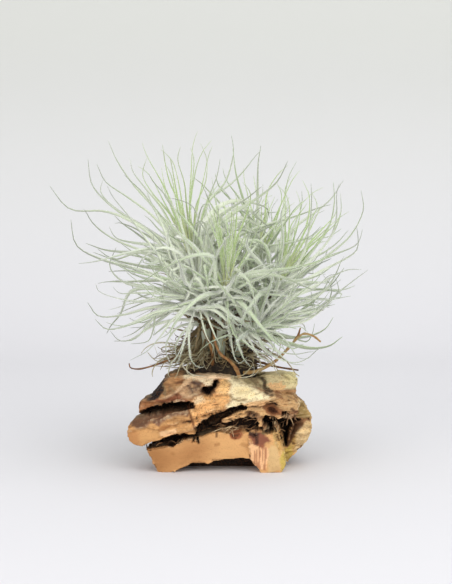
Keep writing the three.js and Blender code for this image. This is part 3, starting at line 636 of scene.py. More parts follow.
# %% Lines of grown leaves
LINE_STEPS = 12
CROWN_AT = np.array([2.0, 0.0])
LOWEST, LIFT_NEAR_CROWN = 62, 15  # mm, how low a line may hang, and how much higher near the crown


def arching_line(start, up, out, length, leans, hook, drift):
    """A leaf line that leans from the first angle to the second, and hooks at its end."""
    side = np.cross(up, out)
    points = [start]
    for i in range(LINE_STEPS):
        t = (i + 0.5) / LINE_STEPS
        lean = leans[0] + (leans[1] - leans[0]) * t ** 1.2
        lean += hook * max(0.0, (t - 0.72) / 0.28) ** 1.5
        heading = up * math.cos(lean) + out * math.sin(lean) + side * drift * t
        points.append(points[-1] + unit(heading) * length / LINE_STEPS)
    return np.array(points)


def kept_inside(line):
    """The line drawn back where it would leave the plant's box or hang down over the crown."""
    line = np.minimum(np.maximum(line, BOX_LOW + 1), BOX_HIGH - 1)
    far = np.hypot(line[:, 0] - CROWN_AT[0], line[:, 1] - CROWN_AT[1])
    lowest = LOWEST + LIFT_NEAR_CROWN * np.exp(-((far - 14) / 18) ** 2)
    line[:, 2] += np.clip(lowest - line[:, 2], 0, None) * 0.92
    return clear_of_neck(line)


print("lines of", LINE_STEPS, "steps")

# %% [markdown]
# ## Leafy stems
# The stems of a real clump never show: leaves grow along their whole length, and the older, lower
# ones stay. Each stem is a thin rod clothed in more leaves by the rule that plants follow, one
# leaf every 137.5 degrees. The lowest are short, dead and dry. Those above arch away with tips
# that turn up to the light, and those near the heart stand up and are green.

# %% Leafy stems
GOLDEN_TURN = math.radians(137.5)
STEM_LOW = 60
STEM_STEPS, STEM_CORNERS = 16, 8
STEM_RADII = [*np.linspace(2.4, 2.9, STEM_STEPS)[:-4], 2.6, 2.2, 1.6, 0.8]
TIP_RISE = 0.28  # of a leaf's length
DEAD_LEAVES, STEM_LEAVES, YOUNG_LEAVES = 9, 14, 12
DEAD_STEPS = 9
GROWN_WIDTH, YOUNG_WIDTH = 2.5, 1.3

leaves_here = DEAD_LEAVES + STEM_LEAVES + YOUNG_LEAVES
for rosette, about in ROSETTES.items():
    rng = random.Random(rosette + " stem")
    foot, axis, right = rosette_frame(rosette)
    start = np.array([*about["root"], STEM_LOW], float)
    knee = start + (foot - start) * 0.4 + (0, 0, 3)
    stem = curve_through([start, knee, foot, foot + axis * BARREL * 0.8], STEM_STEPS)
    growth, young, dead = Growth(), Growth(), Growth()
    radii = STEM_RADII[::-1]
    growth.sweep(stem[::-1], ring_of(STEM_CORNERS), radii, radii, right, 0.2)
    for i in range(leaves_here):
        is_dead, is_young = i < DEAD_LEAVES, i >= DEAD_LEAVES + STEM_LEAVES
        age = 1 - i / (leaves_here - 1)
        spot = (0.25 + 0.75 * (1 - age)) * (STEM_STEPS - 1)
        k = min(int(spot), STEM_STEPS - 2)
        here = stem[k] + (stem[k + 1] - stem[k]) * (spot - k)
        heading = unit(stem[k + 1] - stem[k])
        bearing = i * GOLDEN_TURN + rng.uniform(-0.3, 0.3)
        across = unit(np.cross(heading, right))
        out = unit(right * math.cos(bearing) + across * math.sin(bearing))
        if is_young:
            length = rng.uniform(0.3, 0.62) * about["reach"]
            leans = rng.uniform(0.1, 0.35), rng.uniform(0.3, 0.9)
        else:
            length = rng.uniform(0.42, 0.8) * about["reach"]
            leans = rng.uniform(0.3, 0.8), rng.uniform(1.3, 2.6)
        hook, drift = rng.uniform(-1.0, 2.2), rng.uniform(-0.35, 0.35)
        line = kept_inside(arching_line(here, heading, out, length, leans, hook, drift))
        width = (YOUNG_WIDTH if is_young else GROWN_WIDTH) * rng.uniform(0.8, 1.15)
        # The dead lowest leaves take the darker half of the straw tints: their dead colour, and
        # also painted shade deep in the clump.
        if is_dead:
            grow_leaf(dead, line[:DEAD_STEPS], heading, width, rng.uniform(0, 0.5), rng)
            continue
        line[:, 2] += TIP_RISE * length * np.linspace(0, 1, len(line)) ** 3
        line = kept_inside(line)
        if is_young:
            tint = rng.uniform(0.2, 1)
        else:
            tint = rng.uniform(0.1, 0.9) * GREENNESS.get(rosette, MOST_GREEN)
        grown[rosette].append(
            grow_leaf(young if is_young else growth, line, heading, width, tint, rng))
    growth.piece(rosette + "_leafy_stem", silver_felt, "silver_leaf", [rosette + "_stem"])
    dead.piece(rosette + "_dead_inner_leaves", dead_leaf, "dry_leaf")
    young.piece(rosette + "_inner_leaves",
                green_felt if rosette in GREEN_HEARTS else silver_felt, "young_leaf")
print("leaves in all:", sum(len(leaves) for leaves in grown.values()))

# %% [markdown]
# ## Arching leaves of the front
# The front of the clump is crossed by single leaves that give it its look: some rise and bend
# right over, some arch from one rosette across another, thin ones hang over the neck, and at the
# right a sheaf sweeps up side by side. Each is a named width and a few points.

# %% Arching leaves
ARCHES = [  # width, then the line in mm
    (2.8, [(-23, -16, 108), (-25.4, -20, 114), (-27.2, -22, 120), (-28, -23, 127),
          (-26.3, -24, 133.5), (-23.5, -25, 134), (-22, -26, 130)]),
    (2.6, [(-5, -22, 106), (-6.8, -23, 113.7), (-7.4, -24, 122.4), (-7.2, -25, 131), (-9, -26, 136),
          (-12.5, -27, 135), (-15, -28, 129)]),
    (1.9, [(-24, -14, 127), (-17.3, -20, 125), (-11, -26, 120), (-6.8, -29, 114), (-3, -31, 107)]),
    (2.8, [(0, -26, 92), (2, -30, 97), (5.6, -32, 102), (13, -32, 105.5), (21.7, -31, 105),
          (29, -30, 101)]),
    (1.6, [(-12, -30, 100), (-3.1, -34, 101.8), (5.6, -35, 101), (13.6, -35, 98), (18, -34, 93),
          (19.4, -33, 87)]),
    (3.3, [(26, -20, 84), (28, -23, 91), (30, -24, 99), (31.4, -24, 106), (31, -23, 113),
          (29.4, -22, 120)]),
    (1.5, [(27, -22, 88), (22.3, -27, 101.5), (20.6, -28, 111), (21.4, -28, 119)]),
    (3.0, [(-8, -26, 95), (-15, -32, 99), (-21.5, -35, 103), (-27, -36, 105.4), (-30.8, -36, 101),
          (-30, -36, 95.5)]),
    (2.5, [(-19, -28, 93), (-16.5, -32, 99), (-14.4, -34, 105.8), (-11.2, -35, 105.8),
          (-8.3, -35, 99.3), (-5.5, -35, 91.8), (-4, -35, 86)]),
    (1.7, [(27, -24, 85), (31.5, -27, 89.5), (39.7, -30, 96), (49, -31, 100), (55.2, -31, 105),
          (59, -30, 111)]),
    (2.8, [(0, -26, 88), (5.6, -32, 92.5), (11.8, -34, 91), (15.6, -35, 86), (16.8, -35, 78)]),
    (3.0, [(6, -27, 88), (0, -34, 91), (-7, -36, 91.5), (-14, -37, 91), (-22, -37, 88)]),
    (2.4, [(12, -24, 96), (17, -29, 103), (22, -30, 110), (29, -28, 113), (35, -26, 109)]),
    (2.2, [(-16, -20, 112), (-22, -25, 119), (-31, -27, 122), (-40, -28, 117), (-46, -28, 108)]),
    (3.3, [(-12, 2, 126), (-8, 2, 134), (0, 2, 142), (9.4, 1, 145), (18.7, 0, 143.5),
          (25.3, -1, 141), (26.6, -2, 136)]),
    (3.5, [(-10, 3, 122), (-7, 2, 132), (-1, 1, 138), (9.4, 0, 141.4), (16.8, -1, 139.4),
          (21, -2, 135.4), (28, -4, 129)]),
    (3.3, [(-8, 0, 118), (-4.6, -1, 128), (2, -2, 133.4), (11, -3, 135.6), (18.7, -4, 133),
          (24.3, -5, 129), (28, -6, 124)]),
    (3.0, [(-7, -3, 116), (-3.7, -4, 125), (3.8, -6, 130.6), (11.3, -7, 131.6), (19, -8, 128),
          (25, -9, 120)]),
    (3.0, [(-5, -8, 112), (0, -10, 119), (8, -12, 124), (17, -13, 124), (25, -14, 118),
          (29, -15, 110)]),
    (2.4, [(3.8, -27, 104), (5, -30, 109), (8.5, -32, 111), (12.5, -33, 107), (15, -34, 101),
          (17, -34, 97)]),
    (2.6, [(-4, -28, 96), (1, -32, 99.6), (7.6, -34, 100.2), (15, -35, 96.5), (19.7, -35, 91),
          (21.6, -34, 82)]),
    (3.0, [(2, -27, 92), (6, -33, 96), (11.3, -36, 96.5), (16.9, -37, 93.7), (19.9, -37, 88),
          (19.7, -36, 80)]),
    (2.8, [(-9.3, -30, 90), (-1.8, -35, 92), (4.8, -37, 88), (11.3, -37, 82.4), (18.8, -36, 77)]),
    (2.4, [(-13, -31, 90.4), (-4, -36, 90), (3.8, -38, 84.3), (7.6, -38, 78), (9, -37, 71)]),
    (1.9, [(3, -30, 94), (4.3, -38, 87), (4.6, -39, 79), (5.6, -38, 71)]),
    (2.4, [(-21, -28, 103), (-26, -31, 108), (-22.4, -34, 111.6), (-16.8, -35, 112),
          (-13.6, -35, 109), (-13, -35, 105)]),
    (2.6, [(-14, -28, 91), (-20.5, -33, 91), (-34.6, -36, 88.4), (-48.6, -36, 82), (-60, -34, 79),
          (-66, -32, 83)]),
    (2.0, [(-13, -28, 86), (-25.2, -33, 89), (-33.6, -35, 87), (-35, -35, 80), (-38, -34, 73),
          (-44, -33, 70.6)]),
    (2.0, [(-14, -26, 83), (-25, -31, 83.4), (-36.4, -33, 80.6), (-48, -32, 73), (-54, -31, 72),
          (-58, -30, 76)]),
    (1.6, [(-12, -22, 81), (-21.5, -27, 79.6), (-26.4, -29, 75), (-29, -29, 69), (-28, -28, 62),
          (-25, -27, 58)]),
    (1.4, [(-10, -21, 80), (-17, -26, 79), (-22, -28, 73), (-24, -28, 66), (-22, -27, 60)]),
    (2.2, [(31, -22, 84), (42, -26, 87), (52.4, -27, 88), (58, -26, 92), (60.4, -25, 99),
          (60, -24, 104)]),
    (1.8, [(30, -22, 80), (40, -27, 81), (48, -28, 84), (56, -28, 90), (63, -26, 97),
          (64.6, -25, 104)]),
    (1.9, [(5, -24, 85), (7.6, -30, 78), (9.6, -32, 71), (12, -33, 65), (14.6, -32, 60.6),
          (17.4, -31, 57.8)]),
    (1.3, [(3, -24, 82), (5.4, -30, 76), (6.4, -32, 69), (8, -33, 63.6), (11, -33, 61),
          (13.6, -32, 63)]),
    (1.5, [(14, -22, 78), (18, -28, 74.6), (24, -30, 70.6), (30, -30, 67), (36, -29, 65.2),
          (43, -28, 65), (49, -27, 67.6)]),
    (1.2, [(15, -22, 75), (20, -27, 70), (26, -29, 65.6), (33, -29, 61.6), (41, -28, 60),
          (48, -27, 63), (53, -26, 69.6)]),
    (1.4, [(-15, -24, 82), (-16.6, -28, 76), (-16.4, -30, 69), (-15.6, -31, 63), (-13, -31, 59),
          (-10, -31, 58), (-8, -31, 59)]),
    (1.2, [(-15, -24, 80), (-18.5, -28, 73.6), (-20.4, -30, 67), (-22.4, -30, 61), (-24, -29, 57)]),
    (1.4, [(13, -24, 77), (16.6, -29, 71), (20, -30, 65), (23.6, -30, 61.8), (27.6, -29, 60.6),
          (31, -28, 62)]),
    (1.5, [(9, -26, 79), (13, -31, 72.6), (18, -32, 68), (24, -32, 65.4), (31, -31, 64.4)]),
    (2.3, [(30, -18, 100), (40, -21, 107), (51, -22, 117), (59.8, -22, 129), (62.6, -21, 142),
          (61, -20, 155)]),
    (2.0, [(30, -16, 98), (38, -18, 106), (45.4, -19, 120), (48.5, -19, 135), (49, -19, 146),
          (48, -19, 155)]),
    (2.4, [(30, -20, 96), (42, -23, 102), (54, -24, 109), (67, -24, 116), (73, -23, 120.4),
          (76, -22, 128)]),
    (2.2, [(29, -22, 90), (42.5, -25, 97.4), (54, -26, 103), (64, -26, 109), (70, -25, 110.5),
          (75, -25, 110)]),
    (2.3, [(29, -22, 88), (38, -25, 90), (46.8, -26, 93), (56.9, -27, 100), (62.6, -26, 109),
          (64.8, -25, 117.5)]),
    (2.0, [(28, -22, 87), (36, -26, 87), (45.4, -27, 88.7), (54, -28, 93), (59.8, -27, 100.3)]),
    (2.1, [(26, -22, 84), (40, -27, 84), (50, -28, 86), (57, -28, 91)]),
]
ARCH_SLENDER = 0.9
FACING_OUT = np.array([0, -0.6, 0.8])
growth = Growth()
rng = random.Random("arches")
for width, line in ARCHES:
    tint = rng.uniform(0, 0.2)
    grown["front"].append(grow_leaf(growth, line, FACING_OUT, width * ARCH_SLENDER, tint, rng))
growth.piece("front_arching_leaves", silver_felt, "silver_leaf")
print("arching leaves:", len(ARCHES))

# %% [markdown]
# ## Leaf hair
# The silver of this plant is a coat of fine, white, feathery hair, up to 2 mm long, that leans to
# the leaf's tip. A particle coat would be lost on export, so each hair is a real spike of four
# triangles. Real hair is a few hundredths of a millimetre thick and too fine to show, so it is
# drawn as coarse as it needs to be, and fewer hairs stand for many. It is longest at the root of
# a leaf and gone at the thread, and it fringes the gutter's two edges more than its back.

# %% Leaf hair
HAIRS_PER_MM = 4.5
HAIR_THICK = 0.15
CORNER_SHARES = [0.26, 0.08, 0.26, 0.14, 0.12, 0.14]  # of the hairs, for the gutter's corners
SPIKE = [[0, 2, 1], [0, 1, 3], [1, 2, 3], [2, 0, 3]]


def hair_coat(name, leaves, seed):
    """Spikes over all the leaves of one rosette, as one closed-mesh piece."""
    rng = np.random.default_rng(seed)
    feet, heads = [], []
    for path, rings in leaves:
        n = int(np.linalg.norm(np.diff(path, axis=0), axis=1).sum() * HAIRS_PER_MM)
        t = rng.uniform(0.02, 1, n) ** 1.15 * (len(path) - 1.001)
        i, f = t.astype(int), (t % 1)[:, None]
        corner = rng.choice(len(GUTTER), n, p=CORNER_SHARES)
        jitter = rng.uniform(0, 1, n)[:, None] * 0.5
        at = rings[i, corner] * (1 - f) + rings[i + 1, corner] * f
        next_corner = (corner + 1) % len(GUTTER)
        beside = rings[i, next_corner] * (1 - f) + rings[i + 1, next_corner] * f
        at = at + (beside - at) * jitter
        centre = path[i] * (1 - f) + path[i + 1] * f
        along = unit(path[i + 1] - path[i])
        out = unit(at - centre + rng.normal(0, 0.12, (n, 3)))
        reach = np.interp(t / len(path), [0, 0.5, 0.8, 1], [1.25, 1.0, 0.6, 0.25])
        reach = reach * rng.uniform(0.6, 1.4, n)
        lean = out * 0.8 + along * rng.uniform(0.3, 1.0, n)[:, None]
        lean = unit(lean + rng.normal(0, 0.15, (n, 3)))
        feet.append(at)
        heads.append(at + lean * reach[:, None])
    feet, heads = np.vstack(feet), np.vstack(heads)
    heads = np.minimum(np.maximum(heads, BOX_LOW), BOX_HIGH)
    shaft = unit(heads - feet)
    first = unit(np.cross(shaft, rng.normal(0, 1, shaft.shape)))
    second = np.cross(shaft, first)
    half = HAIR_THICK / 2
    corners = np.stack([feet + first * half, feet - first * half / 2 + second * half * 0.87,
                        feet - first * half / 2 - second * half * 0.87, heads], axis=1)
    base = np.arange(len(feet))[:, None, None] * 4
    faces = (base + np.array(SPIKE)).reshape(-1, 3)
    mesh = bpy.data.meshes.new(name)
    mesh.from_pydata((corners.reshape(-1, 3) * MM).tolist(), [], faces.tolist())
    mesh.materials.append(hair)
    coat = place_object(name, mesh)
    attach(coat, "root")
    return len(feet)


hairs = 0
for seed, (name, leaves) in enumerate(grown.items()):
    hairs += hair_coat(name + "_hair_coat", leaves, seed)
print("hairs:", hairs)

# %% [markdown]
# ## Dead leaves
# Old leaves die at the base of the clump, lose their hair, dry to straw and curl up. Each is a
# thin strip that has twisted as it dried, swept like the living ones but flatter. The longest
# follow the lines of the CAD fans. Where a line runs low, it is laid on the top of the wood.

# %% Dead leaves
CROWN_MIDDLE = np.array([2.0, 3.0, 60.0])
WOOD_TOP = 55.5
STRAW = [(0.5, 0.1), (0.0, 0.22), (-0.5, 0.1), (-0.42, -0.1), (0.0, 0.02), (0.42, -0.1)]
STRAW_STEPS, STRAW_WIDTH = 20, 1.4
for fan in [n for n in lines_of if n.startswith("dry_leaves")]:
    rng = random.Random(fan)
    growth = Growth()
    for line in lines_of[fan]:
        path = curve_through(line, STRAW_STEPS)
        path[:, 2] = np.maximum(path[:, 2], WOOD_TOP - (WOOD_TOP - path[:, 2]) * 0.15)
        widths = (STRAW_WIDTH * rng.uniform(0.8, 1.3)
                  * shares_along(STRAW_STEPS, [0, 0.5, 1], [1, 0.6, 0.25]))
        tint, twist = rng.uniform(0.5, 1), rng.uniform(-4, 4)
        growth.sweep(path, STRAW, widths, widths * 0.8, UP, tint, twist)
    growth.piece(fan + "_grown", dead_leaf, "dry_leaf", [fan])
in_fans = sum(len(lines) for name, lines in lines_of.items() if name.startswith("dry"))
print("dead leaves in fans:", in_fans)

# %% [markdown]
# ### Tangle round the crown
# Short dead leaves curl over one another between the plant and the wood, and hide most of the
# crown. Their lines come from the same rule as the living leaves, but lean down and hook hard.

# %% Tangle of dead leaves
TANGLED, TANGLE_STEPS = 150, 18
rng = random.Random("tangle")
tangle = Growth()
for _ in range(TANGLED):
    bearing = rng.uniform(0, 2 * math.pi)
    out = np.array([math.cos(bearing), math.sin(bearing), 0])
    start = CROWN_MIDDLE + out * (rng.uniform(6, 17), rng.uniform(5, 13), 0)
    start = start + (0, 0, rng.uniform(-2, 12))
    length = rng.uniform(9, 26)
    curl = rng.uniform(1.5, 4.5) * rng.choice((-1, 1))
    leans = rng.uniform(0.9, 2.0), rng.uniform(1.4, 2.6)
    line = arching_line(start, UP, out, length, leans, curl, rng.uniform(-1.2, 1.2))
    line[:, 2] = np.maximum(line[:, 2], WOOD_TOP)
    path = curve_through(line, TANGLE_STEPS)
    widths = rng.uniform(0.7, 1.7) * shares_along(TANGLE_STEPS, [0, 0.5, 1], [1, 0.75, 0.15])
    tint, twist = rng.uniform(0, 0.9), rng.uniform(-5, 5)
    tangle.sweep(path, STRAW, widths, widths * 0.8, out, tint, twist)
tangle.piece("dead_leaf_tangle", dead_leaf, "dry_leaf")
print("dead leaves in the tangle:", TANGLED)

# %% [markdown]
# ### Hanging old leaves
# Thin old leaves hang from the rosettes' undersides to the wood and turn up at their ends. At the
# left they are so many and so long that they make a loose basket, so more than half are grown
# there. Where they hang over the dark crown they are the darkest, as they're the most rotten.

# %% Hanging old leaves
HANGING = 230
BASKET_SHARE = 0.55  # of the hanging leaves, for the basket at the left
BASKET_FLOOR = 53.8
rng = random.Random("hanging")
hanging = Growth()
for _ in range(HANGING):
    left = rng.random() < BASKET_SHARE
    bearing = math.radians(rng.uniform(150, 262) if left else rng.uniform(-100, 150))
    top_at, low_at = rng.uniform(64, 80), rng.uniform(BASKET_FLOOR, 62)
    spread = rng.uniform(11, 25) if left else rng.uniform(9, 17)
    t = np.linspace(0, 1, 9)
    turned = bearing + rng.uniform(-0.5, 0.5) * t
    away = rng.uniform(6, 10) + spread * t ** 1.2
    curl = rng.uniform(2, 5) * ease(t, 0.55, 1) * rng.choice((-1, 1))
    line = np.stack([np.cos(turned) * away - 2 + curl, np.sin(turned) * away * 0.8,
                     top_at + (low_at - top_at) * np.sin(t * rng.uniform(1.3, 2.2))], axis=1)
    line[:, 2] = np.maximum(line[:, 2], BASKET_FLOOR)
    path = wandering(curve_through(line, LEAF_STEPS), rng)
    widths = rng.uniform(0.6, 1.4) * shares_along(LEAF_STEPS, [0, 0.5, 1], [1, 0.7, 0.3])
    tint = rng.uniform(0.1, 0.8) if left else rng.uniform(0.0, 0.45)
    hanging.sweep(path, STRAW, widths, widths * 0.9, UP, tint, rng.uniform(-3, 3))
hanging.piece("hanging_old_leaves", dead_leaf, "dry_leaf")
print("hanging leaves:", HANGING)

# %% [markdown]
# ## Crown
# The crown is the clump's old woody base: a dark lump of dead stems and root fibre. A fine copy
# of the CAD dome is roughened with noise, and its bark is nearly black with damp, with paler
# flakes about 2.5 mm across.

# %% Crown
BARK_FLAKE = 2.5 * MM
CROWN_VOXEL = 0.9  # mm
BARK_LUMP, LUMP_HEIGHT = 4 * MM, 1.1 * MM
MOST_SWELL = 0.25 * MM  # the crown may not swell into the wood

crown_bark, tree = new_material("old_root_bark")
place = add(tree, "ShaderNodeTexCoord")
flakes = add(tree, "ShaderNodeTexNoise",
             {"Vector": place.outputs["Object"], "Scale": 1 / BARK_FLAKE, "Detail": 6.0})
bark = add(tree, "ShaderNodeValToRGB", {"Fac": flakes.outputs["Fac"]},
           stops=[(0.3, "#1c1510"), (0.75, "#53432f"), (0.5, "#2f251b")])
bump = add(tree, "ShaderNodeBump",
           {"Height": flakes.outputs["Fac"], "Strength": 0.8, "Distance": 0.6 * MM})
shader = add(tree, "ShaderNodeBsdfPrincipled",
             {"Base Color": bark.outputs[0], "Normal": bump.outputs[0], "Roughness": 0.9})
finish_material(tree, shader)


def fine_copy(node, voxel, name):
    """A copy of a CAD node's mesh, remeshed evenly at the voxel size in mm."""
    made = place_object(name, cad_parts[node].data.copy())
    made.data.materials.clear()
    remesh = made.modifiers.new("even", "REMESH")
    remesh.mode = "VOXEL"
    remesh.voxel_size = voxel * MM
    bpy.context.view_layer.update()
    evaluated = made.evaluated_get(bpy.context.evaluated_depsgraph_get())
    even = bpy.data.meshes.new_from_object(evaluated)
    made.modifiers.clear()
    made.data = even
    even.name = name
    return made


rooted_crown = fine_copy("root_crown", CROWN_VOXEL, "rooted_crown")
for v in rooted_crown.data.vertices:
    shift = noise.fractal(v.co / BARK_LUMP, 0.8, 2.0, 4) * LUMP_HEIGHT
    v.co += v.normal * min(shift, MOST_SWELL)
shade_smooth(rooted_crown.data)
rooted_crown.data.materials.append(crown_bark)
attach(rooted_crown, "root")
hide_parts("root_crown")
print("crown faces:", len(rooted_crown.data.polygons))

# %% [markdown]
# ## Dead stalks
# After it blooms, a rosette leaves its stalk standing: a thin, jointed rod, brown, which snaps and
# bends as it dries. Each stalk is a rod swept along the CAD route and thicker at its joints. The
# skin is brown with bleached blotches about 3 mm across.

# %% Stalks
SKIN_BLOTCH = 3 * MM
stalk_skin, tree = new_material("dried_bloom_stalk")
tint = add(tree, "ShaderNodeAttribute", attribute_name="tint")
place = add(tree, "ShaderNodeTexCoord")
blotch = add(tree, "ShaderNodeTexNoise",
             {"Vector": place.outputs["Object"], "Scale": 1 / SKIN_BLOTCH, "Detail": 5.0})
bleached = add(tree, "ShaderNodeMath", {0: blotch.outputs["Fac"], 1: tint.outputs["Fac"]},
               operation="ADD")
skin_tone = add(tree, "ShaderNodeValToRGB", {"Fac": bleached.outputs[0]},
                stops=[(0.4, "#5b3b22"), (1.0, "#a99870"), (0.62, "#8f6236"), (0.8, "#a8844f")])
bump = add(tree, "ShaderNodeBump",
           {"Height": blotch.outputs["Fac"], "Strength": 0.4, "Distance": 0.3 * MM})
shader = add(tree, "ShaderNodeBsdfPrincipled",
             {"Base Color": skin_tone.outputs[0], "Normal": bump.outputs[0], "Roughness": 0.65})
finish_material(tree, shader)

STALKS = {
    "old_bloom_stalk": dict(thick=1.5, thin=0.7, joints=8, tint=0.35, path=[
        (13, -12, 52), (20, -16, 53.6), (28, -18, 58), (34, -19, 63.4), (38.4, -20, 68.6),
        (41, -22, 72), (45, -23, 75), (50, -24, 74), (54, -25, 71)]),
    "dry_stalk_left": dict(thick=1.1, thin=0.5, joints=3, tint=0.0, path=[
        (-10, 1, 62), (-20, -6, 61), (-30, -13, 58.2), (-42, -20, 55.6), (-48, -22, 56.2),
        (-49, -22, 58.6)]),
    "dry_stalk_front_left": dict(thick=1.2, thin=0.7, joints=3, tint=0.1, path=[
        (-4, -9.8, 56), (-4.2, -14, 62), (-5.5, -20, 69), (-9, -23, 77)]),
    "dry_stalk_front_right": dict(thick=1.4, thin=0.6, joints=3, tint=0.15, path=[
        (10.6, -19, 50.6), (8.6, -22, 56), (5, -24, 60.6), (0.6, -25, 64), (-2, -26, 69),
        (-3.4, -27, 75), (-4, -27, 81)]),
    "dry_stalk_lying": dict(thick=1.1, thin=0.6, joints=3, tint=-0.1, path=[
        (15, 2, 57), (23, -1, 55.6), (32, -3, 53.6), (43, -4, 52)]),
}
SPUR = [(40.5, -21.5, 71.5), (42, -22, 74), (43.2, -22.4, 78)]
STEPS_PER_JOINT, SPUR_STEPS = 16, 10
ROUND = ring_of(10)
for name, stalk in STALKS.items():
    steps = STEPS_PER_JOINT * stalk["joints"]
    path = curve_through(stalk["path"], steps)
    t = np.linspace(0, 1, steps)
    swell = 1 + 0.28 * np.exp(-((t * stalk["joints"] % 1 - 0.5) / 0.12) ** 2)
    radii = np.interp(t, [0, 1], [stalk["thick"], stalk["thin"]]) * swell * 0.8
    growth = Growth()
    growth.sweep(path, ROUND, radii, radii * 0.85, UP, stalk["tint"])
    if name == "old_bloom_stalk":
        growth.sweep(curve_through(SPUR, SPUR_STEPS), ROUND, np.linspace(0.8, 0.4, SPUR_STEPS),
                     np.linspace(0.7, 0.35, SPUR_STEPS), np.array([0, 1.0, 0]), 0.1)
    growth.piece(name + "_dried", stalk_skin, "dry_stalk", [name])
print("stalks:", len(STALKS))

# %% [markdown]
# ## Driftwood
# The wood is a chunk of root, split along its grain and sawn off at the front, and worn by water
# so that its soft parts are hollowed. A fine copy of the CAD solid takes ridges along the grain,
# pits in the sawn faces and a waterworn roundness, while its underside stays flat. Its corners
# are held in one array, in mm, and the helpers below work on all of them at once.

# %% Driftwood shape
WOOD_VOXEL = 0.63  # mm
GRAIN_RISE = math.radians(13)

driftwood = fine_copy("driftwood", WOOD_VOXEL, "split_driftwood")
wood_mesh = driftwood.data
places = np.empty(len(wood_mesh.vertices) * 3)
wood_mesh.vertices.foreach_get("co", places)
places = places.reshape(-1, 3) / MM
links = np.empty(len(wood_mesh.edges) * 2, int)
wood_mesh.edges.foreach_get("vertices", links)
links = links.reshape(-1, 2)


def relaxed(points, rounds):
    """The corners after each has moved halfway to the middle of its neighbours, so many times."""
    count = np.bincount(links.ravel(), minlength=len(points))
    for _ in range(rounds):
        middle = [np.bincount(links[:, 0], points[links[:, 1], k], len(points))
                  + np.bincount(links[:, 1], points[links[:, 0], k], len(points))
                  for k in range(points.shape[1])]
        points = (points + np.stack(middle, axis=1) / count[:, None]) / 2
    return points


def wood_normals():
    """Normals at the corners of the mesh as it now is."""
    wood_mesh.vertices.foreach_set("co", (places * MM).ravel())
    wood_mesh.update()
    out = np.empty(len(places) * 3, np.float32)
    wood_mesh.vertex_normals.foreach_get("vector", out)
    return out.reshape(-1, 3).astype(float)


def noise_field(scale, octaves=4, seed=0.0):
    """Fractal noise at every corner; scale is a lump's size in mm along the grain, y and across."""
    rise, run = math.sin(GRAIN_RISE), math.cos(GRAIN_RISE)
    x, y, z = places.T
    grid = np.stack([x * run + z * rise, y, z * run - x * rise], axis=1) / np.array(scale) + seed
    return np.array([noise.fractal(Vector(p), 0.8, 2.0, octaves) for p in grid])


def terraced(value, step):
    """The value in steps with short ramps between, as layers of split wood break."""
    level = np.floor(value / step)
    return (level + ease(value / step - level, 0.35, 0.65)) * step


print("driftwood corners:", len(places))

# %% [markdown]
# ### Outlines of the front
# The front of the wood is read by its faces and gaps: a ledge, a bright pitted face, a spoon-shaped
# hollow, dark crevices between the split layers. Each one is an outline of (x, z) points in mm, as
# a saw cut through the front would show it. The same outline carves the mesh and colours it.

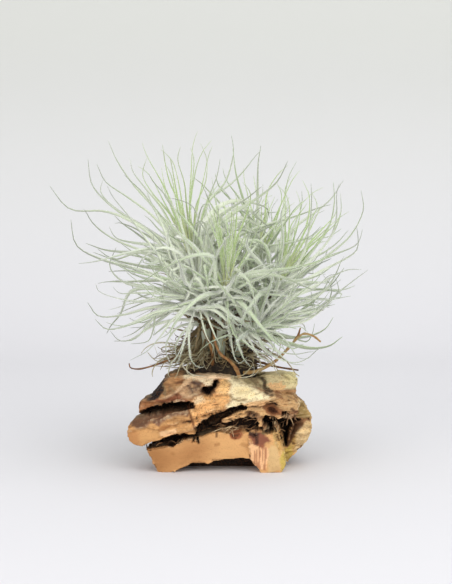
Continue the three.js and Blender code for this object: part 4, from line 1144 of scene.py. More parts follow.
# %% Outlines
OUTLINES = {
    # Gaps and holes.
    "gap_under_lip": [(-43, 31), (-40.4, 31.8), (-38.4, 33), (-35.5, 34.3), (-32.4, 34.5),
        (-31, 33.8), (-30.4, 35.8), (-29.4, 37.4), (-26, 38.6), (-23, 38.2), (-21, 37.4),
        (-18, 37.6), (-17, 38.6), (-16.4, 37.4), (-17.3, 35.6), (-19.5, 35), (-24, 33.9),
        (-27.5, 32.7), (-30, 31.8), (-34, 31.2), (-38.5, 30.4)],
    "gap_under_ledge": [(-43, 13.6), (-39.4, 15.2), (-34, 16.5), (-31, 17.9), (-28.5, 19.1),
        (-25, 20.2), (-21.5, 21), (-18, 21.1), (-14, 20.5), (-12.5, 20.7), (-11, 19.4), (-14, 18.3),
        (-19.4, 18.2), (-20.6, 17.4), (-22.6, 16), (-26, 14.6), (-31, 14), (-38.4, 12.7)],
    "crevice_upper": [(-13.6, 24.8), (-10.5, 27.2), (-8, 28.7), (-5, 30.2), (0, 32), (4, 33.4),
        (7, 35), (10, 36), (12, 36.2), (14, 35), (10, 32.7), (5, 30.4), (1.4, 28.7), (0.2, 27.3),
        (-1, 25.9), (-4, 25.5), (-8, 25.4)],
    "crevice_lower": [(-13.4, 20.6), (-13, 25), (-9, 24.7), (-5, 24.5), (-1, 24.8), (2, 24.5),
        (5, 24.5), (7, 25.2), (9, 24.9), (14, 24.5), (19, 25), (23, 24.2), (23.5, 23.2), (20, 22.8),
        (14, 23), (9, 22.8), (7, 23.2), (3, 23.1), (0, 22.3), (-3, 21.8), (-7, 20.8), (-11, 19.5)],
    "crevice_right": [(3.6, 26.4), (7, 27.6), (10, 28.6), (14, 29.2), (17, 29.1), (19.6, 28.5),
        (19.9, 26.8), (20.5, 25.4), (16, 25), (12, 26), (8, 26.4)],
    "slot_under_spur": [(23.2, 25.6), (23.3, 28.2), (25, 29.9), (29, 28.6), (33, 28.2), (35, 26.8),
        (34, 24), (31, 25.2), (30.2, 27.2), (28.8, 27.6), (28.8, 22), (27.6, 21.8), (26.4, 24.6)],
    "cleft": [(30.4, 28), (33, 28), (35, 27.2), (37, 26.4), (39.6, 27.2), (42, 27.2), (44, 26.6),
        (41, 25.4), (39.4, 24), (38.2, 21.8), (37.2, 17.8), (36.6, 14), (35.9, 11), (35.2, 13.6),
        (34.5, 17.4), (33, 21.5), (31.4, 24.6)],
    "hooked_hole": [(-10, 44.8), (-10.1, 43.2), (-8.7, 41.8), (-6.6, 41.3), (-4.8, 42),
        (-3.3, 43.8), (-2.5, 45.6), (-1.8, 48), (-1.3, 50.2), (-2.6, 50.4), (-3.2, 48.6),
        (-3.8, 46.5), (-5, 45.3), (-7.2, 45.7), (-9, 45.6)],
    "end_slot": [(33.5, 32.4), (35.5, 32.8), (37.6, 31.2), (38, 29), (36.4, 28.2), (35, 29.8),
        (34, 31)],
    "notches": [(-15, 18.6), (-14.8, 16.4), (-14.2, 16.4), (-13.8, 18), (-12.9, 18), (-11.9, 15.8),
        (-11.2, 16), (-11.2, 19)],
    # The ledge and the lip at the left.
    "ledge_front": [(-51, 20), (-49.4, 17), (-45, 14.4), (-40.5, 13.2), (-38, 15.2), (-33, 16.4),
        (-28, 18.8), (-22, 20.6), (-13.5, 20.8), (-13.3, 25.2), (-15, 28), (-16.4, 31.4),
        (-20, 31.8), (-24, 31.6), (-28.5, 29.6), (-33, 26.2), (-37, 27.8), (-40, 24.8), (-45, 24.6),
        (-47.5, 26.6), (-50.6, 25.4)],
    "ledge_top": [(-51, 26.4), (-47.5, 26.2), (-45, 24.6), (-40, 24.8), (-37, 27.6), (-33, 26.2),
        (-28.5, 29.6), (-24, 31.4), (-20, 31.6), (-16.4, 31.2), (-16.6, 37), (-24, 34), (-34, 31.6),
        (-42, 31), (-51, 28.4)],
    "ledge_left": [(-51, 24), (-50, 16), (-45, 14), (-42, 16), (-43.4, 20), (-45, 25)],
    "ledge_top_left": [(-48.6, 27.8), (-47, 25.8), (-44, 24.8), (-40, 25), (-37.6, 27.6),
        (-37.6, 29.6), (-42, 30), (-46, 29)],
    "ledge_stripe": [(-32.4, 23.4), (-30.6, 23), (-26.4, 25.2), (-26.2, 26.4), (-29, 26),
        (-32, 25)],
    "sawn_left": [(-42, 13.6), (-32, 14), (-24, 15), (-19, 18.6), (-8, 20), (-3, 14), (-6, 8),
        (-6, 3), (-34, -1)],
    "lip": [(-45.6, 32), (-45.2, 37.6), (-42, 38.6), (-36, 38.4), (-34, 40.4), (-30, 40),
        (-29.6, 37.6), (-31, 34.4), (-35, 34.4), (-40, 32.2)],
    "lip_notch": [(-45.4, 34), (-44, 37), (-42.8, 36.8), (-43.4, 33.6), (-45, 31.8)],
    # The hollowed top slab.
    "cheek": [(-33, 40), (-29, 40.6), (-26, 42.4), (-23, 44), (-20, 47), (-17.4, 50.4), (-22, 51.6),
        (-29, 50.6), (-31.6, 46)],
    "spoon": [(-22, 43.6), (-20, 46.8), (-17, 50.2), (-14, 50.6), (-9.6, 49), (-8.6, 46), (-10, 43),
        (-14.5, 40.8), (-19, 41), (-22.4, 42)],
    "fold": [(-32, 38.4), (-29, 40.6), (-26, 42.4), (-23, 44), (-22, 42), (-20, 40.4), (-17, 39),
        (-22, 38.4), (-26, 38.8)],
    "spoon_shade": [(-15, 49), (-11, 48.4), (-9.8, 46.4), (-10.4, 43.8), (-12.6, 45),
        (-14.6, 46.6)],
    "shaded_left_side": [(-40.6, 39.2), (-37.6, 40.6), (-35.8, 43), (-33, 47.6), (-30.6, 49.4),
        (-30.4, 45), (-32.6, 41), (-35, 39.4), (-38, 38.8)],
    "rim": [(-28, 50.4), (-22, 50.6), (-17, 49.6), (-12, 49.8), (-8, 46.2), (-4.6, 46.4),
        (-3.4, 50), (-0.4, 50.6), (6, 50.6), (10, 50), (6, 53.6), (-20, 53.6)],
    "pitted_face": [(-17, 34), (-16.2, 38), (-14, 41), (-9.5, 42), (-5, 41.4), (-2.2, 44),
        (0.2, 50.6), (4, 51), (5.6, 47), (5.2, 43), (6, 41), (4.5, 38), (3, 35.4), (5, 34), (0, 32),
        (-5, 30.2), (-9, 28.4), (-12.5, 26), (-14.8, 25), (-15.4, 28)],
    "pit_upper": [(-1.6, 43.4), (0, 46), (0.6, 50.8), (5, 51), (6, 47), (5, 43.4), (2, 41.4)],
    "pale_patch": [(-16, 38), (-14, 41), (-9.5, 42), (-8, 40), (-10, 38.4), (-13.6, 38)],
    "cream_face": [(3.6, 51.2), (6.4, 51.8), (9, 50.4), (12, 48.6), (16, 47.6), (20, 45.2),
        (22, 43.6), (24, 42.2), (28, 41.8), (30, 40.8), (26, 39.6), (20, 38.8), (15, 37.6),
        (13, 36.8), (9, 36), (4, 34), (3.5, 36.2), (6, 39.2), (5.5, 43.2), (5.6, 47.2)],
    "block_seam_shade": [(9.6, 50.6), (13, 48.6), (17.4, 47.2), (21.6, 44.2), (25, 42.6), (29, 42.2),
        (26, 43.6), (22, 46), (18, 48.6), (13, 50.4)],
    "lip_right": [(11, 36.4), (16, 38.4), (22, 39.6), (28, 39.8), (30, 37.6), (26, 36.2),
        (22.6, 36.2), (19, 35.8), (16, 35)],
    "right_end": [(27, 41.4), (31, 41.8), (36, 42), (40, 40.4), (42.8, 39.2), (45, 37.4),
        (42, 34.4), (39, 33.2), (36, 33.2), (33, 34.2), (30, 35.8), (27, 38.2)],
    "right_edge": [(39.4, 40.8), (43.2, 39.8), (45.4, 37.6), (43, 34.6), (41.4, 34.4), (43, 37.4),
        (41, 39)],
    # The split layers under it.
    "flake": [(1, 28.6), (5, 30.4), (9, 32.6), (14, 34.9), (18, 35.8), (22, 35.6), (24, 34),
        (25, 32), (26.4, 31), (24.8, 30), (23.4, 29), (23, 27.2), (21.6, 24.8), (20, 26.2),
        (19.6, 28), (17, 29), (14, 29.2), (10, 28.8), (6, 28), (3, 27.2)],
    "flake_shade": [(13.8, 32.6), (15, 33.4), (18, 33), (21, 31.4), (23, 29), (22.8, 27),
        (20, 27.6), (17, 29.2), (15, 29.6)],
    "spur": [(25.4, 30.6), (28, 29.8), (32, 28.8), (35, 28.4), (35.4, 30.2), (33, 31.6), (31, 31.3),
        (29, 30.3), (26.4, 31.2)],
    "eye": [(23, 35.8), (25, 36.2), (28.5, 35.9), (31, 34.5), (33.6, 32.9), (33, 31.9),
        (31.4, 31.3), (29.6, 30.5), (27.8, 31), (25.8, 31.7), (24.6, 33.7)],
    "sawn_spot": [(4.8, 22), (8, 22.6), (12, 22), (11.6, 20), (10.2, 18.2), (8, 17.4), (6.2, 18.4),
        (5, 20)],
    # The foot and the lobe at the right.
    "foot_cream": [(25.6, 12.4), (27.4, 14.6), (30.6, 13.6), (32.2, 10.2), (33.6, 7), (33, 1),
        (26, 0), (25.4, 6)],
    "foot_red": [(15.4, 19), (17, 22.4), (22, 21.8), (25.6, 19.8), (27.6, 17), (25, 16), (23, 13.8),
        (20, 15), (17, 17)],
    "foot_dark": [(15, 22.6), (19, 22.8), (21, 21), (20.4, 18), (17.6, 18.6)],
    "foot_flutes": [(15.6, 18), (18, 16.6), (22, 15.4), (25.6, 13.4), (25.8, 8), (25, 1), (20, 2.6),
        (16, 7)],
    "foot_neck": [(28, 21.8), (29.6, 25), (31, 24), (32, 21), (33.6, 17.4), (35, 12.6), (34.6, 9.6),
        (32.4, 9.8), (31, 13.6), (28.8, 17)],
    "foot_top": [(23, 21.4), (25, 25.4), (28, 29), (30.4, 27), (29.6, 23), (27.6, 20.4)],
    "lobe_foot": [(32.4, 9.8), (34.6, 11.4), (36, 10.8), (38, 12.4), (40.4, 9), (38.4, 5),
        (36.6, 2), (34, 0), (32.4, 2)],
    "lobe_face": [(38, 11.4), (39.8, 18.4), (42, 21.4), (45.6, 24.2), (47.4, 27), (50.6, 24),
        (50.4, 17), (48, 12), (44, 10), (41, 8)],
    "lobe_yellow": [(37, 9), (37.4, 14), (39.6, 18.6), (41.6, 18), (41, 13), (41.4, 9)],
    "lobe_upper": [(41, 43), (44.6, 40), (49, 36.4), (50.4, 30), (49.6, 27), (46, 26.8), (41.6, 28),
        (41.8, 32), (43.4, 34.4), (45, 37)],
    "lobe_edge": [(47.4, 38), (51, 36), (51, 14), (47.6, 11), (48.6, 18), (48.6, 27), (47, 33)],
    "cleft_wall": [(39.3, 25.9), (45.8, 25.4), (45.2, 23), (42.4, 20.6), (40.4, 17), (38.8, 13.4),
        (36.8, 10.3), (35.9, 11.6), (37.2, 15), (37.8, 19), (38.4, 22)],
}
print("outlines:", len(OUTLINES))

# %% [markdown]
# ### Measuring from an outline
# Carving and staining both ask one thing of an outline: how far inside it a corner of the wood
# lies. The distance to its nearest side gives the amount, and counting the sides that a level line
# from the corner crosses gives the sign. A soft edge is then only a matter of easing the distance.

# %% Distances to outlines
def from_line(points):
    """How far in mm each corner is from a line through (x, z) points, seen from the front."""
    here, least = places[:, [0, 2]], np.full(len(places), 1e9)
    points = np.array(points, float)
    for a, b in zip(points, points[1:]):
        t = np.clip(((here - a) @ (b - a)) / ((b - a) @ (b - a)), 0, 1)
        least = np.minimum(least, np.linalg.norm(here - a - t[:, None] * (b - a), axis=1))
    return least


def inside(name):
    """How far in mm each corner lies inside an outline, from the front; negative outside it."""
    x, z = places[:, 0], places[:, 2]
    outline = OUTLINES[name] + OUTLINES[name][:1]
    within = np.zeros(len(places), bool)
    for (xa, za), (xb, zb) in zip(outline, outline[1:]):
        slope = (xb - xa) / (zb - za) if zb != za else 0.0
        within ^= ((za > z) != (zb > z)) & (x < xa + slope * (z - za))
    distance = from_line(outline)
    return np.where(within, distance, -distance)


print("corners in the hooked hole:", int((inside("hooked_hole") > 0).sum()))

# %% [markdown]
# ### Slopes and gaps of the front
# The slabs of the front aren't upright. The top one leans back from its lower lip, the left ledge
# has a sloping top, and only the lowest was sawn flat. Gaps are cut straight back to a floor, and
# hollows and swellings are named pushes in mm that fade in over a set slope. Two holes that the
# plain CAD solid has are wider than those of the real wood, so they're first filled in.

# %% Front slopes
SWELLS = {  # depth in mm (minus is forward) and how wide its slope is
    "spoon": (3.2, 4.0), "fold": (1.4, 2.0), "eye": (2.5, 2.6), "sawn_spot": (1.6, 1.6),
    "pitted_face": (-1.6, 5), "cheek": (-1.0, 3), "foot_neck": (2.5, 2.4), "foot_top": (3.5, 2),
    "foot_cream": (-0.8, 3), "cleft_wall": (5, 3), "lobe_face": (-1.5, 4), "spur": (-1.5, 1.2),
    "flake_shade": (2.0, 2.0), "right_end": (1.5, 3), "foot_dark": (2, 2),
}
GAP_FLOORS = {  # the y that each gap is cut back to
    "gap_under_lip": -9, "gap_under_ledge": -13, "crevice_upper": -14, "crevice_lower": -14,
    "crevice_right": -15, "slot_under_spur": -14, "cleft": -3, "hooked_hole": -13,
    "end_slot": -16, "notches": -22,
}
FRONT_FACE = -26.6
LIP_TOP, LIP_THICKER = 37.8, 0.5
TOP_LEAN, LEDGE_SLOPE = 8.5, 9
SLOPE_STOPS = [-50, -45, -40, -37, -33, -28.6, -24, -17.5]
SLOPE_FOOT = [26.6, 24.8, 24.6, 27, 26.2, 29.4, 31, 31.6]
FRONT_SINKS, BLOCK_SINKS = 1.9, 1.4

x, y, z = places.T
around_hook = (np.abs(x + 5) < 9) & (z > 38) & (z < 52) & (y < -14)
wide_hole = around_hook & (inside("hooked_hole") < -0.4)
places[wide_hole, 1] = np.minimum(places[wide_hole, 1], FRONT_FACE)
in_lip = ease(z, 32.2, 32.6) * (z < LIP_TOP) * ease(-x, 30.5, 34) * ease(-y, 8, 12)
places[:, 2] -= in_lip * (LIP_TOP - z) * LIP_THICKER
behind_gap = (x < -28) & (z > 28.5) & (z < 32.3)
places[behind_gap, 2] += 5 * ease(y[behind_gap], -16, -9)

front = ease(-y, 4, 16)
slope_foot = np.interp(x, SLOPE_STOPS, SLOPE_FOOT)
slope_head = np.interp(x, [-50, -41.6, -30, -17.4], [28, 31, 33, 36])
push = front * ease(z, 39, 54) * TOP_LEAN * ease(x, -60, -20)
push += (front * ease(-x, 12, 16) * ease(z, slope_foot - 0.4, slope_head) * LEDGE_SLOPE
         * ease(39 - z, 0, 3))
for name, (deep_by, slope) in SWELLS.items():
    push += front * deep_by * ease(inside(name), 0, slope)
places[:, 1] += push
for name, floor in GAP_FLOORS.items():
    places[:, 1] += np.maximum(floor - places[:, 1], 0) * ease(inside(name), -0.35, 0.45)
places[:, 2] -= (front * ease(z, 46, 53) * FRONT_SINKS
                 + ease(x, 4, 10) * ease(z, 40, 46) * ease(y, -8, 26) * BLOCK_SINKS)
print("front leans back by up to", round(float(push.max()), 1), "mm")

# %% [markdown]
# ### Torn edges, grain and cracks
# Split wood breaks along its fibres: edges are torn, faces are ridged along the grain, and drying
# opens long thin cracks. Edges are found by comparing the mesh with a relaxed copy of itself.
# The sawn face keeps nearly flat, and the block at the right and the lip at the left don't crack.

# %% Grain and cracks
CRACK_WIDTH = 0.03  # of the noise that the cracks follow
CRACK_DEPTH = 1.3
UNDERSIDE = 0.8
SPARE = 1.5  # mm that the wood may stand out past its CAD box

normals = wood_normals()
edge = np.clip(((places - relaxed(places, 24)) * normals).sum(axis=1), -1.5, 1.5)
x, y, z = places.T
sawn = ease(-normals[:, 1], 0.75, 0.95) * ease(-y, 22, 25) * ease(24 - z, 0, 3)
chips = noise_field((5, 3, 2.2), 3, 7.0)
lumps = noise_field((14, 9, 7), 2, 3.0)
strata = terraced(noise_field((19, 8, 4.2), 3, 41.0) * 2.6, 0.9)
fibres = noise_field((16, 4, 1.7), 4, 11.0)
pits = noise_field((1.6, 1.6, 1.3), 2, 5.0)
seam = noise_field((46, 14, 9), 1, 21.0)
on_block = ease(x, 6, 12) * ease(z, 40, 44)
on_lip = ease(inside("lip"), -1, 1) * ease(-y, 8, 12)
cracks = (np.exp(-(seam / CRACK_WIDTH) ** 2) * (1 - sawn) * (1 - on_block) * (1 - on_lip)
          * (0.35 + 0.65 * ease(y, -16, -8)))
rough = (1 - 0.92 * sawn) * (1 - 0.7 * on_lip)
shift = (-np.maximum(edge, 0) * (0.15 + 0.9 * np.clip(chips + 0.3, 0, 1))
         + (lumps * 1.0 + strata * 0.75 + fibres * 0.5 + pits * 0.3) * rough
         - cracks * CRACK_DEPTH)
shift[z < UNDERSIDE] = 0
places = places + normals * shift[:, None] * (0.6, 1.0, 0.6)
places[:, 2] = np.maximum(places[:, 2], 0)
low, high = (np.array(c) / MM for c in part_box("driftwood"))
places = np.minimum(np.maximum(places, low - (SPARE, SPARE, 0)), high + SPARE)
normals = wood_normals()
print("grain and cracks done")

# %% [markdown]
# ### Painted shade in the cracks
# Cracks and hollows are painted with shade, the darker the more wood closes round them. How closed
# in a point lies is measured once, by casting short rays from it: the more of them hit wood, and
# the sooner, the more shade it is given.

# %% Driftwood masks
RAY_COUNT = 14
RAY_START, RAY_REACH = 0.4 * MM, 12 * MM

wood_faces = BVHTree.FromPolygons((places * MM).tolist(),
                                  [tuple(p.vertices) for p in wood_mesh.polygons])
rng = random.Random("rays")
rays = []
while len(rays) < RAY_COUNT:
    ray = Vector([rng.uniform(-1, 1) for _ in range(3)])
    if 0.1 < ray.length < 1:
        rays.append(ray.normalized())
occlusion = []
for v, n in zip(places * MM, normals):
    n = Vector(n)
    start = Vector(v) + n * RAY_START
    hits = 0.0
    for ray in rays:
        hit = wood_faces.ray_cast(start, ray if ray.dot(n) > 0 else -ray, RAY_REACH)
        if hit[0] is not None:
            hits += 1 - 0.5 * hit[3] / RAY_REACH
    occlusion.append(hits / RAY_COUNT)
occlusion = np.array(occlusion)
print("crack depth, mean", round(float(occlusion.mean()), 3))

# %% [markdown]
# ### Driftwood stains, painted light and painted shade
# Colour follows how each face was made: the sawn front is fresh and cream to orange, and the split
# tops are weathered grey brown. Painted shade darkens the cracks, the gaps and the shaded faces,
# and painted light lifts pale faces where the plant shades them. The large patches are painted
# corner by corner from a list of named outlines with ragged edges. Strokes are the finer marks:
# cracks, stained edges, painted highlights on rims and painted shade along seams, each a line of
# points with a half width.

# %% Patches and strokes
PATCHES = [  # outline, colour, how soft its edge is in mm, strength
    ("ledge_front", "#d19d64", 0.8, 1.0),
    ("ledge_left", "#b9814f", 3.0, 0.8),
    ("ledge_top", "#845e48", 1.4, 1.0),
    ("ledge_stripe", "#a9713f", 0.8, 0.9),
    ("lip", "#d49463", 0.8, 1.0),
    ("cheek", "#ab7e52", 1.0, 1.0),
    ("spoon", "#c09c78", 1.5, 1.0),
    ("fold", "#935e42", 1.2, 1.0),
    ("pitted_face", "#f0b574", 2.0, 1.0),
    ("pale_patch", "#fde0b4", 1.5, 0.9),
    # Real pale wood, its tone lifted as painted light where the plant shades it: pit_upper, rim,
    # cream_face.
    ("pit_upper", "#ffd392", 2.5, 0.8),
    ("rim", "#ffeac2", 0.8, 1.0),
    ("cream_face", "#fff0c4", 3.0, 1.0),
    ("lip_right", "#f0c28a", 1.0, 0.9),
    ("right_end", "#c69e6c", 1.0, 1.0),
    ("right_edge", "#ead0a0", 0.8, 0.9),
    ("flake", "#f0c286", 0.5, 1.0),
    ("flake_shade", "#9c7450", 1.0, 0.9),
    ("spur", "#ffd29c", 0.5, 1.0),
    ("foot_cream", "#d9b47e", 1.0, 1.0),
    ("foot_flutes", "#f3c08e", 0.6, 1.0),
    ("foot_red", "#8a543e", 1.2, 1.0),
    ("foot_dark", "#4c3226", 1.2, 0.9),
    ("foot_neck", "#d6ae6e", 0.8, 1.0),
    ("foot_top", "#75603f", 0.8, 1.0),
    ("lobe_face", "#e2c28d", 0.8, 1.0),
    ("lobe_yellow", "#cca760", 1.5, 0.9),
    ("lobe_upper", "#ab9059", 0.8, 1.0),
    ("lobe_edge", "#c9a468", 1.2, 0.6),
    ("lobe_foot", "#ccb05a", 0.8, 1.0),
    # Painted shade on the lobe's wall inside the cleft.
    ("cleft_wall", "#6c4a2e", 1.0, 1.0),
    ("sawn_spot", "#ac6845", 1.2, 1.0),
    # Painted shade in the notches.
    ("notches", "#4a2f1e", 0.5, 0.9),
]
STROKES = [  # colour, half width in mm, strength, the (x, z) points it runs through
    ("#7d4a30", 1.1, 0.9, [(-33.4, 39), (-31, 38.4), (-28, 39), (-25, 40)]),
    # Painted highlights: on the lower left of the spoon, then along the ridge round the cheek.
    ("#dcb48a", 1.1, 0.8, [(-20.4, 43.6), (-18.6, 45.2), (-17.6, 46.8)]),
    ("#e6c096", 0.8, 0.8, [(-29.4, 40.8), (-25.1, 42.4), (-21.4, 45.5), (-18.5, 48.4),
        (-15.6, 50)]),
    ("#74492f", 0.6, 0.8, [(-25.9, 48.8), (-23.4, 48.1), (-20.6, 48.6)]),
    ("#7d6a4c", 0.7, 0.7, [(-30.6, 46.8), (-29.6, 44.4), (-29.4, 41.8)]),
    ("#857052", 0.6, 0.6, [(-27.4, 46), (-25.6, 45), (-24.6, 43.6)]),
    ("#5d4a40", 0.7, 0.8, [(-17.6, 46.6), (-16, 45.2), (-14.8, 43.4)]),
    ("#5a4640", 0.8, 0.8, [(-14.6, 48), (-12.6, 47.4), (-10.4, 47.4)]),
    ("#6b5146", 0.6, 0.7, [(-14.2, 46), (-12.8, 44.4)]),
    ("#8a6a4c", 0.5, 0.8, [(-14.8, 41.2), (-12.6, 42.2), (-10.6, 42.2)]),
    ("#6d4127", 0.6, 0.9, [(-16.8, 37.4), (-17.4, 35.2), (-15.8, 31.6), (-14.8, 27.8),
        (-13.6, 24.6)]),
    ("#9a835c", 0.6, 0.85, [(5.4, 41.8), (7, 40.4), (9.8, 39.4), (14.3, 40.2)]),
    ("#b39d74", 0.5, 0.6, [(8, 45.4), (11, 44.6), (13, 45.2)]),
    ("#2e2216", 0.9, 0.9, [(23.2, 48), (24.6, 46.6), (24, 44.4), (25.4, 43), (28, 42.4)]),
    ("#3a2c1c", 0.6, 0.8, [(18.6, 50.2), (20.4, 48.8), (22.6, 48.2)]),
    # Painted shade along the seam where the block steps back from the cream face.
    ("#6b5a40", 0.4, 0.6, [(12.4, 50), (16.4, 48), (20, 45.4)]),
    ("#6b5a40", 0.4, 0.6, [(16, 50.6), (19.6, 47.6), (22, 45)]),
    ("#4a3a24", 0.6, 0.8, [(26, 52.6), (29, 51.6), (31.6, 51.2)]),
    ("#8a7a4c", 0.6, 0.6, [(33, 50.8), (36, 48.6), (38, 47.6)]),
    ("#7a4c30", 0.7, 0.8, [(30.6, 41.8), (33, 40.4), (35, 38)]),
    ("#6e4f30", 0.7, 0.7, [(37, 41), (39.6, 40.4), (41.6, 38.6)]),
    ("#4c2c1c", 0.8, 0.9, [(38.6, 34.6), (40, 33.6), (41.6, 33)]),
    ("#3a2417", 0.7, 0.9, [(32.4, 32.4), (34.6, 31.6), (37.2, 31)]),
    # Painted shade at the top of the flake's shaded part.
    ("#6a4a2e", 0.6, 0.8, [(14, 32.4), (16.4, 32.8), (19, 33.4)]),
    ("#7c5a3c", 0.5, 0.7, [(1.4, 28.2), (5, 28.4), (9, 28.2), (14, 29)]),
    ("#a06c3e", 0.9, 0.6, [(-2.4, 15), (-0.8, 15.2)]),
    ("#a87442", 1.1, 0.5, [(12, 15.4), (14.6, 14.6)]),
    ("#a87442", 0.8, 0.5, [(-26, 10.4), (-25, 10.2)]),
    ("#5c3a22", 0.6, 0.8, [(-1.8, 21.2), (-1.9, 19.4)]),
    ("#3a2019", 1.0, 0.8, [(16.4, 21.4), (18.6, 20.8), (19.6, 18.6), (19.8, 16.6)]),
    # Painted light: a painted highlight along the rim's crest, then light on the cream face and the
    # upper pitted face where the plant shades them.
    ("#ffdcb2", 1.0, 0.9, [(-12.6, 50.6), (-6, 50.8), (0, 50.9), (5, 50.4)]),
    ("#ffeab6", 2.6, 0.7, [(9.6, 44), (13, 43.8), (16, 42.6)]),
    ("#fcc884", 1.6, 0.6, [(1.4, 48), (3, 46), (2.4, 44)]),
    # Painted light on the shaded underside of the block's step.
    ("#f0c48c", 1.3, 0.9, [(28.4, 44), (31, 43.7), (33.6, 43.6)]),
    ("#f0dda8", 1.2, 0.8, [(36.6, 46.2), (39, 45), (40.6, 44)]),
    ("#a8926e", 1.2, 0.6, [(15.6, 49.6), (18, 48.5), (20, 47.2)]),
    ("#dcb07a", 1.8, 0.8, [(32, 38.6), (35, 37)]),
    ("#ecc088", 1.0, 0.8, [(17.4, 33.9), (20, 33.5), (22.6, 33)]),
    ("#e8b47c", 1.1, 0.8, [(28.8, 30.2), (31, 29.6), (33.4, 29)]),
    ("#d09c6a", 1.5, 0.8, [(-26.6, 49), (-24, 49.6), (-21.4, 50.6)]),
    ("#cc8e5c", 1.3, 0.8, [(-40.4, 35.4), (-38, 36), (-34.6, 37)]),
    ("#9c866c", 1.6, 0.8, [(-28, 53.2), (-24, 54), (-19, 54.6)]),
    ("#ffd2a0", 1.5, 0.7, [(-31, 21.6), (-28, 22), (-24.6, 23)]),
    # Painted shade on the steep side at the left.
    ("#150d0e", 1.7, 0.9, [(-35.6, 41.8), (-34, 43), (-31.8, 44.6)]),
]
colour = np.tile(linear("#8c6f4d")[:3], (len(places), 1))


def paint(share, hex_colour):
    """Mixes a colour in, by each corner's share."""
    paint_of = np.array(linear(hex_colour)[:3])
    colour[:] += (paint_of - colour) * np.clip(share, 0, 1)[:, None]


print("patches:", len(PATCHES), "strokes:", len(STROKES))

# %% [markdown]
# ### Tones and patches
# First come the plain tones of the front, then the named patches over them. Ragged noise moves
# every edge by about a millimetre, as a stain creeps further along some fibres than along others.
# A few faces are mottled on top, where worn wood shows both its dark and its pale layers.

# %% Tones and patches
FLUTE_SIZE = np.array([0.8, 3, 9])  # mm, the upright scratches on the foot
MOTTLED = {"cheek": "#83593a", "spoon": "#856650", "lip": "#8a5636", "ledge_top": "#6a4b3a"}

x, y, z = places.T
top = ease(normals[:, 2], 0.45, 0.8)
facing_front = ease(-normals[:, 1], -0.25, 0.2)
near_front = ease(-y, 6, 10)
lobe_side = ease(x, 35, 38) * ease(-y, -2, 4)
in_front = np.maximum(near_front, lobe_side)
flutes = ease(np.array([noise.noise(Vector(p)) for p in places / FLUTE_SIZE]), -0.05, 0.15)
mottle = noise_field((3.5, 3, 1.6), 4, 63.0)
ragged = noise_field((5, 4, 2.5), 6, 31.0)

paint(near_front, "#b3845a")
paint(near_front * ease(24 - z, 0, 2), "#dca86e")
paint(near_front * ease(inside("sawn_left"), -6, 8), "#ba8552")
paint(near_front * ease(inside("sawn_left"), -3, 4) * ease(-x, 22, 36), "#a87545")
for name, hex_colour, soft, strength in PATCHES:
    share = strength * ease(inside(name) + ragged * 1.1, -soft / 2, soft / 2) * facing_front
    paint(share * in_front, hex_colour)
paint(ease(inside("foot_flutes"), -0.5, 0.5) * flutes * near_front * 0.75, "#a3623f")
for name, hex_colour in MOTTLED.items():
    paint(ease(inside(name), 0, 2) * ease(mottle, 0.0, 0.6) * 0.5 * near_front, hex_colour)
    paint(ease(inside(name), 0, 2) * ease(-mottle, 0.1, 0.6) * 0.5 * near_front, "#d8ac78")
paint(ease(inside("ledge_top_left") + ragged, -0.8, 0.8) * near_front * 0.9, "#674732")
print("patches painted:", len(PATCHES))

# %% [markdown]
# ### Weathered and shaded faces
# Light and rain turn the top of old wood grey brown behind its rim. The block at the right is the
# freshest piece, pale and warm, and a pale orange patch of painted light brightens the shaded
# underside of its step. The steep side at the left and a few hollows are painted nearly black, as
# painted shade.

# %% Weathered and shaded faces
LIT_SPOT_AT, LIT_SPOT_HALF = (31, 43.4), (5.5, 2)

on_rim = np.maximum(ease(inside("rim"), -1.4, 0.2), ease(inside("cheek"), -1, 0.2))
behind_rim = 1 - on_rim * ease(-y, 12, 15)
paint(top * ease(y, -24, -18) * ease(-x, -8, 0) * behind_rim, "#77664f")
block = ease(x, 6, 12) * ease(z, 42, 44) * ease(y + 8 * ease(x, 22, 28), -17, -13)
paint(block * ease(z + ragged, 42, 44), "#c4b388")
paint(block * ease(x + ragged * 3, 24, 28), "#dccb9c")
paint(block * ease(x + ragged * 3, 34, 37), "#e4d6a0")
# Painted light: a pale orange patch brightens the shaded underside of the block's step.
from_lit_spot = np.hypot((x - LIT_SPOT_AT[0]) / LIT_SPOT_HALF[0], (z - LIT_SPOT_AT[1]) / LIT_SPOT_HALF[1])
paint(block * ease(-from_lit_spot + ragged, -1.1, -0.8), "#f0c48c")
paint(ease(-x, 18, 28) * ease(z, 38, 42) * ease(y, -22, -17) * behind_rim, "#8b765b")

# Painted shade: faces that turn to the left, and the steep side at the left, are painted nearly
# black.
paint(ease(-normals[:, 0], 0.3, 0.6) * ease(-x, 26, 31) * ease(z, 39, 41), "#33272a")
paint(ease(inside("shaded_left_side") + ragged * 0.4, -0.5, 0.5), "#2b2221")
# Painted shade in the hollow of the spoon and in the notch of the lip.
paint(ease(inside("spoon_shade") + ragged, -1.2, 1.0) * near_front * 0.75, "#5d4738")
paint(ease(inside("lip_notch") + ragged * 0.5, -0.5, 0.4) * near_front * 0.8, "#4a2c1e")
print("mean colour:", colour.mean(axis=0).round(2))

# %% [markdown]
# ### Hollows, painted shade and strokes
# The hollows among the ridges of the grain are painted darker, and the ridges that face the front
# paler. The relief is found by comparing the layers with a relaxed copy of themselves. Cracks get
# darker and closed-in corners get painted shade the deeper they lie, gaps are painted near black
# as painted shade, and the strokes go over all of these.

# %% Hollows, painted shade and strokes
relief = (strata + fibres * 0.6)[:, None]
hollow = (relaxed(relief, 1) - relaxed(relief, 6))[:, 0]
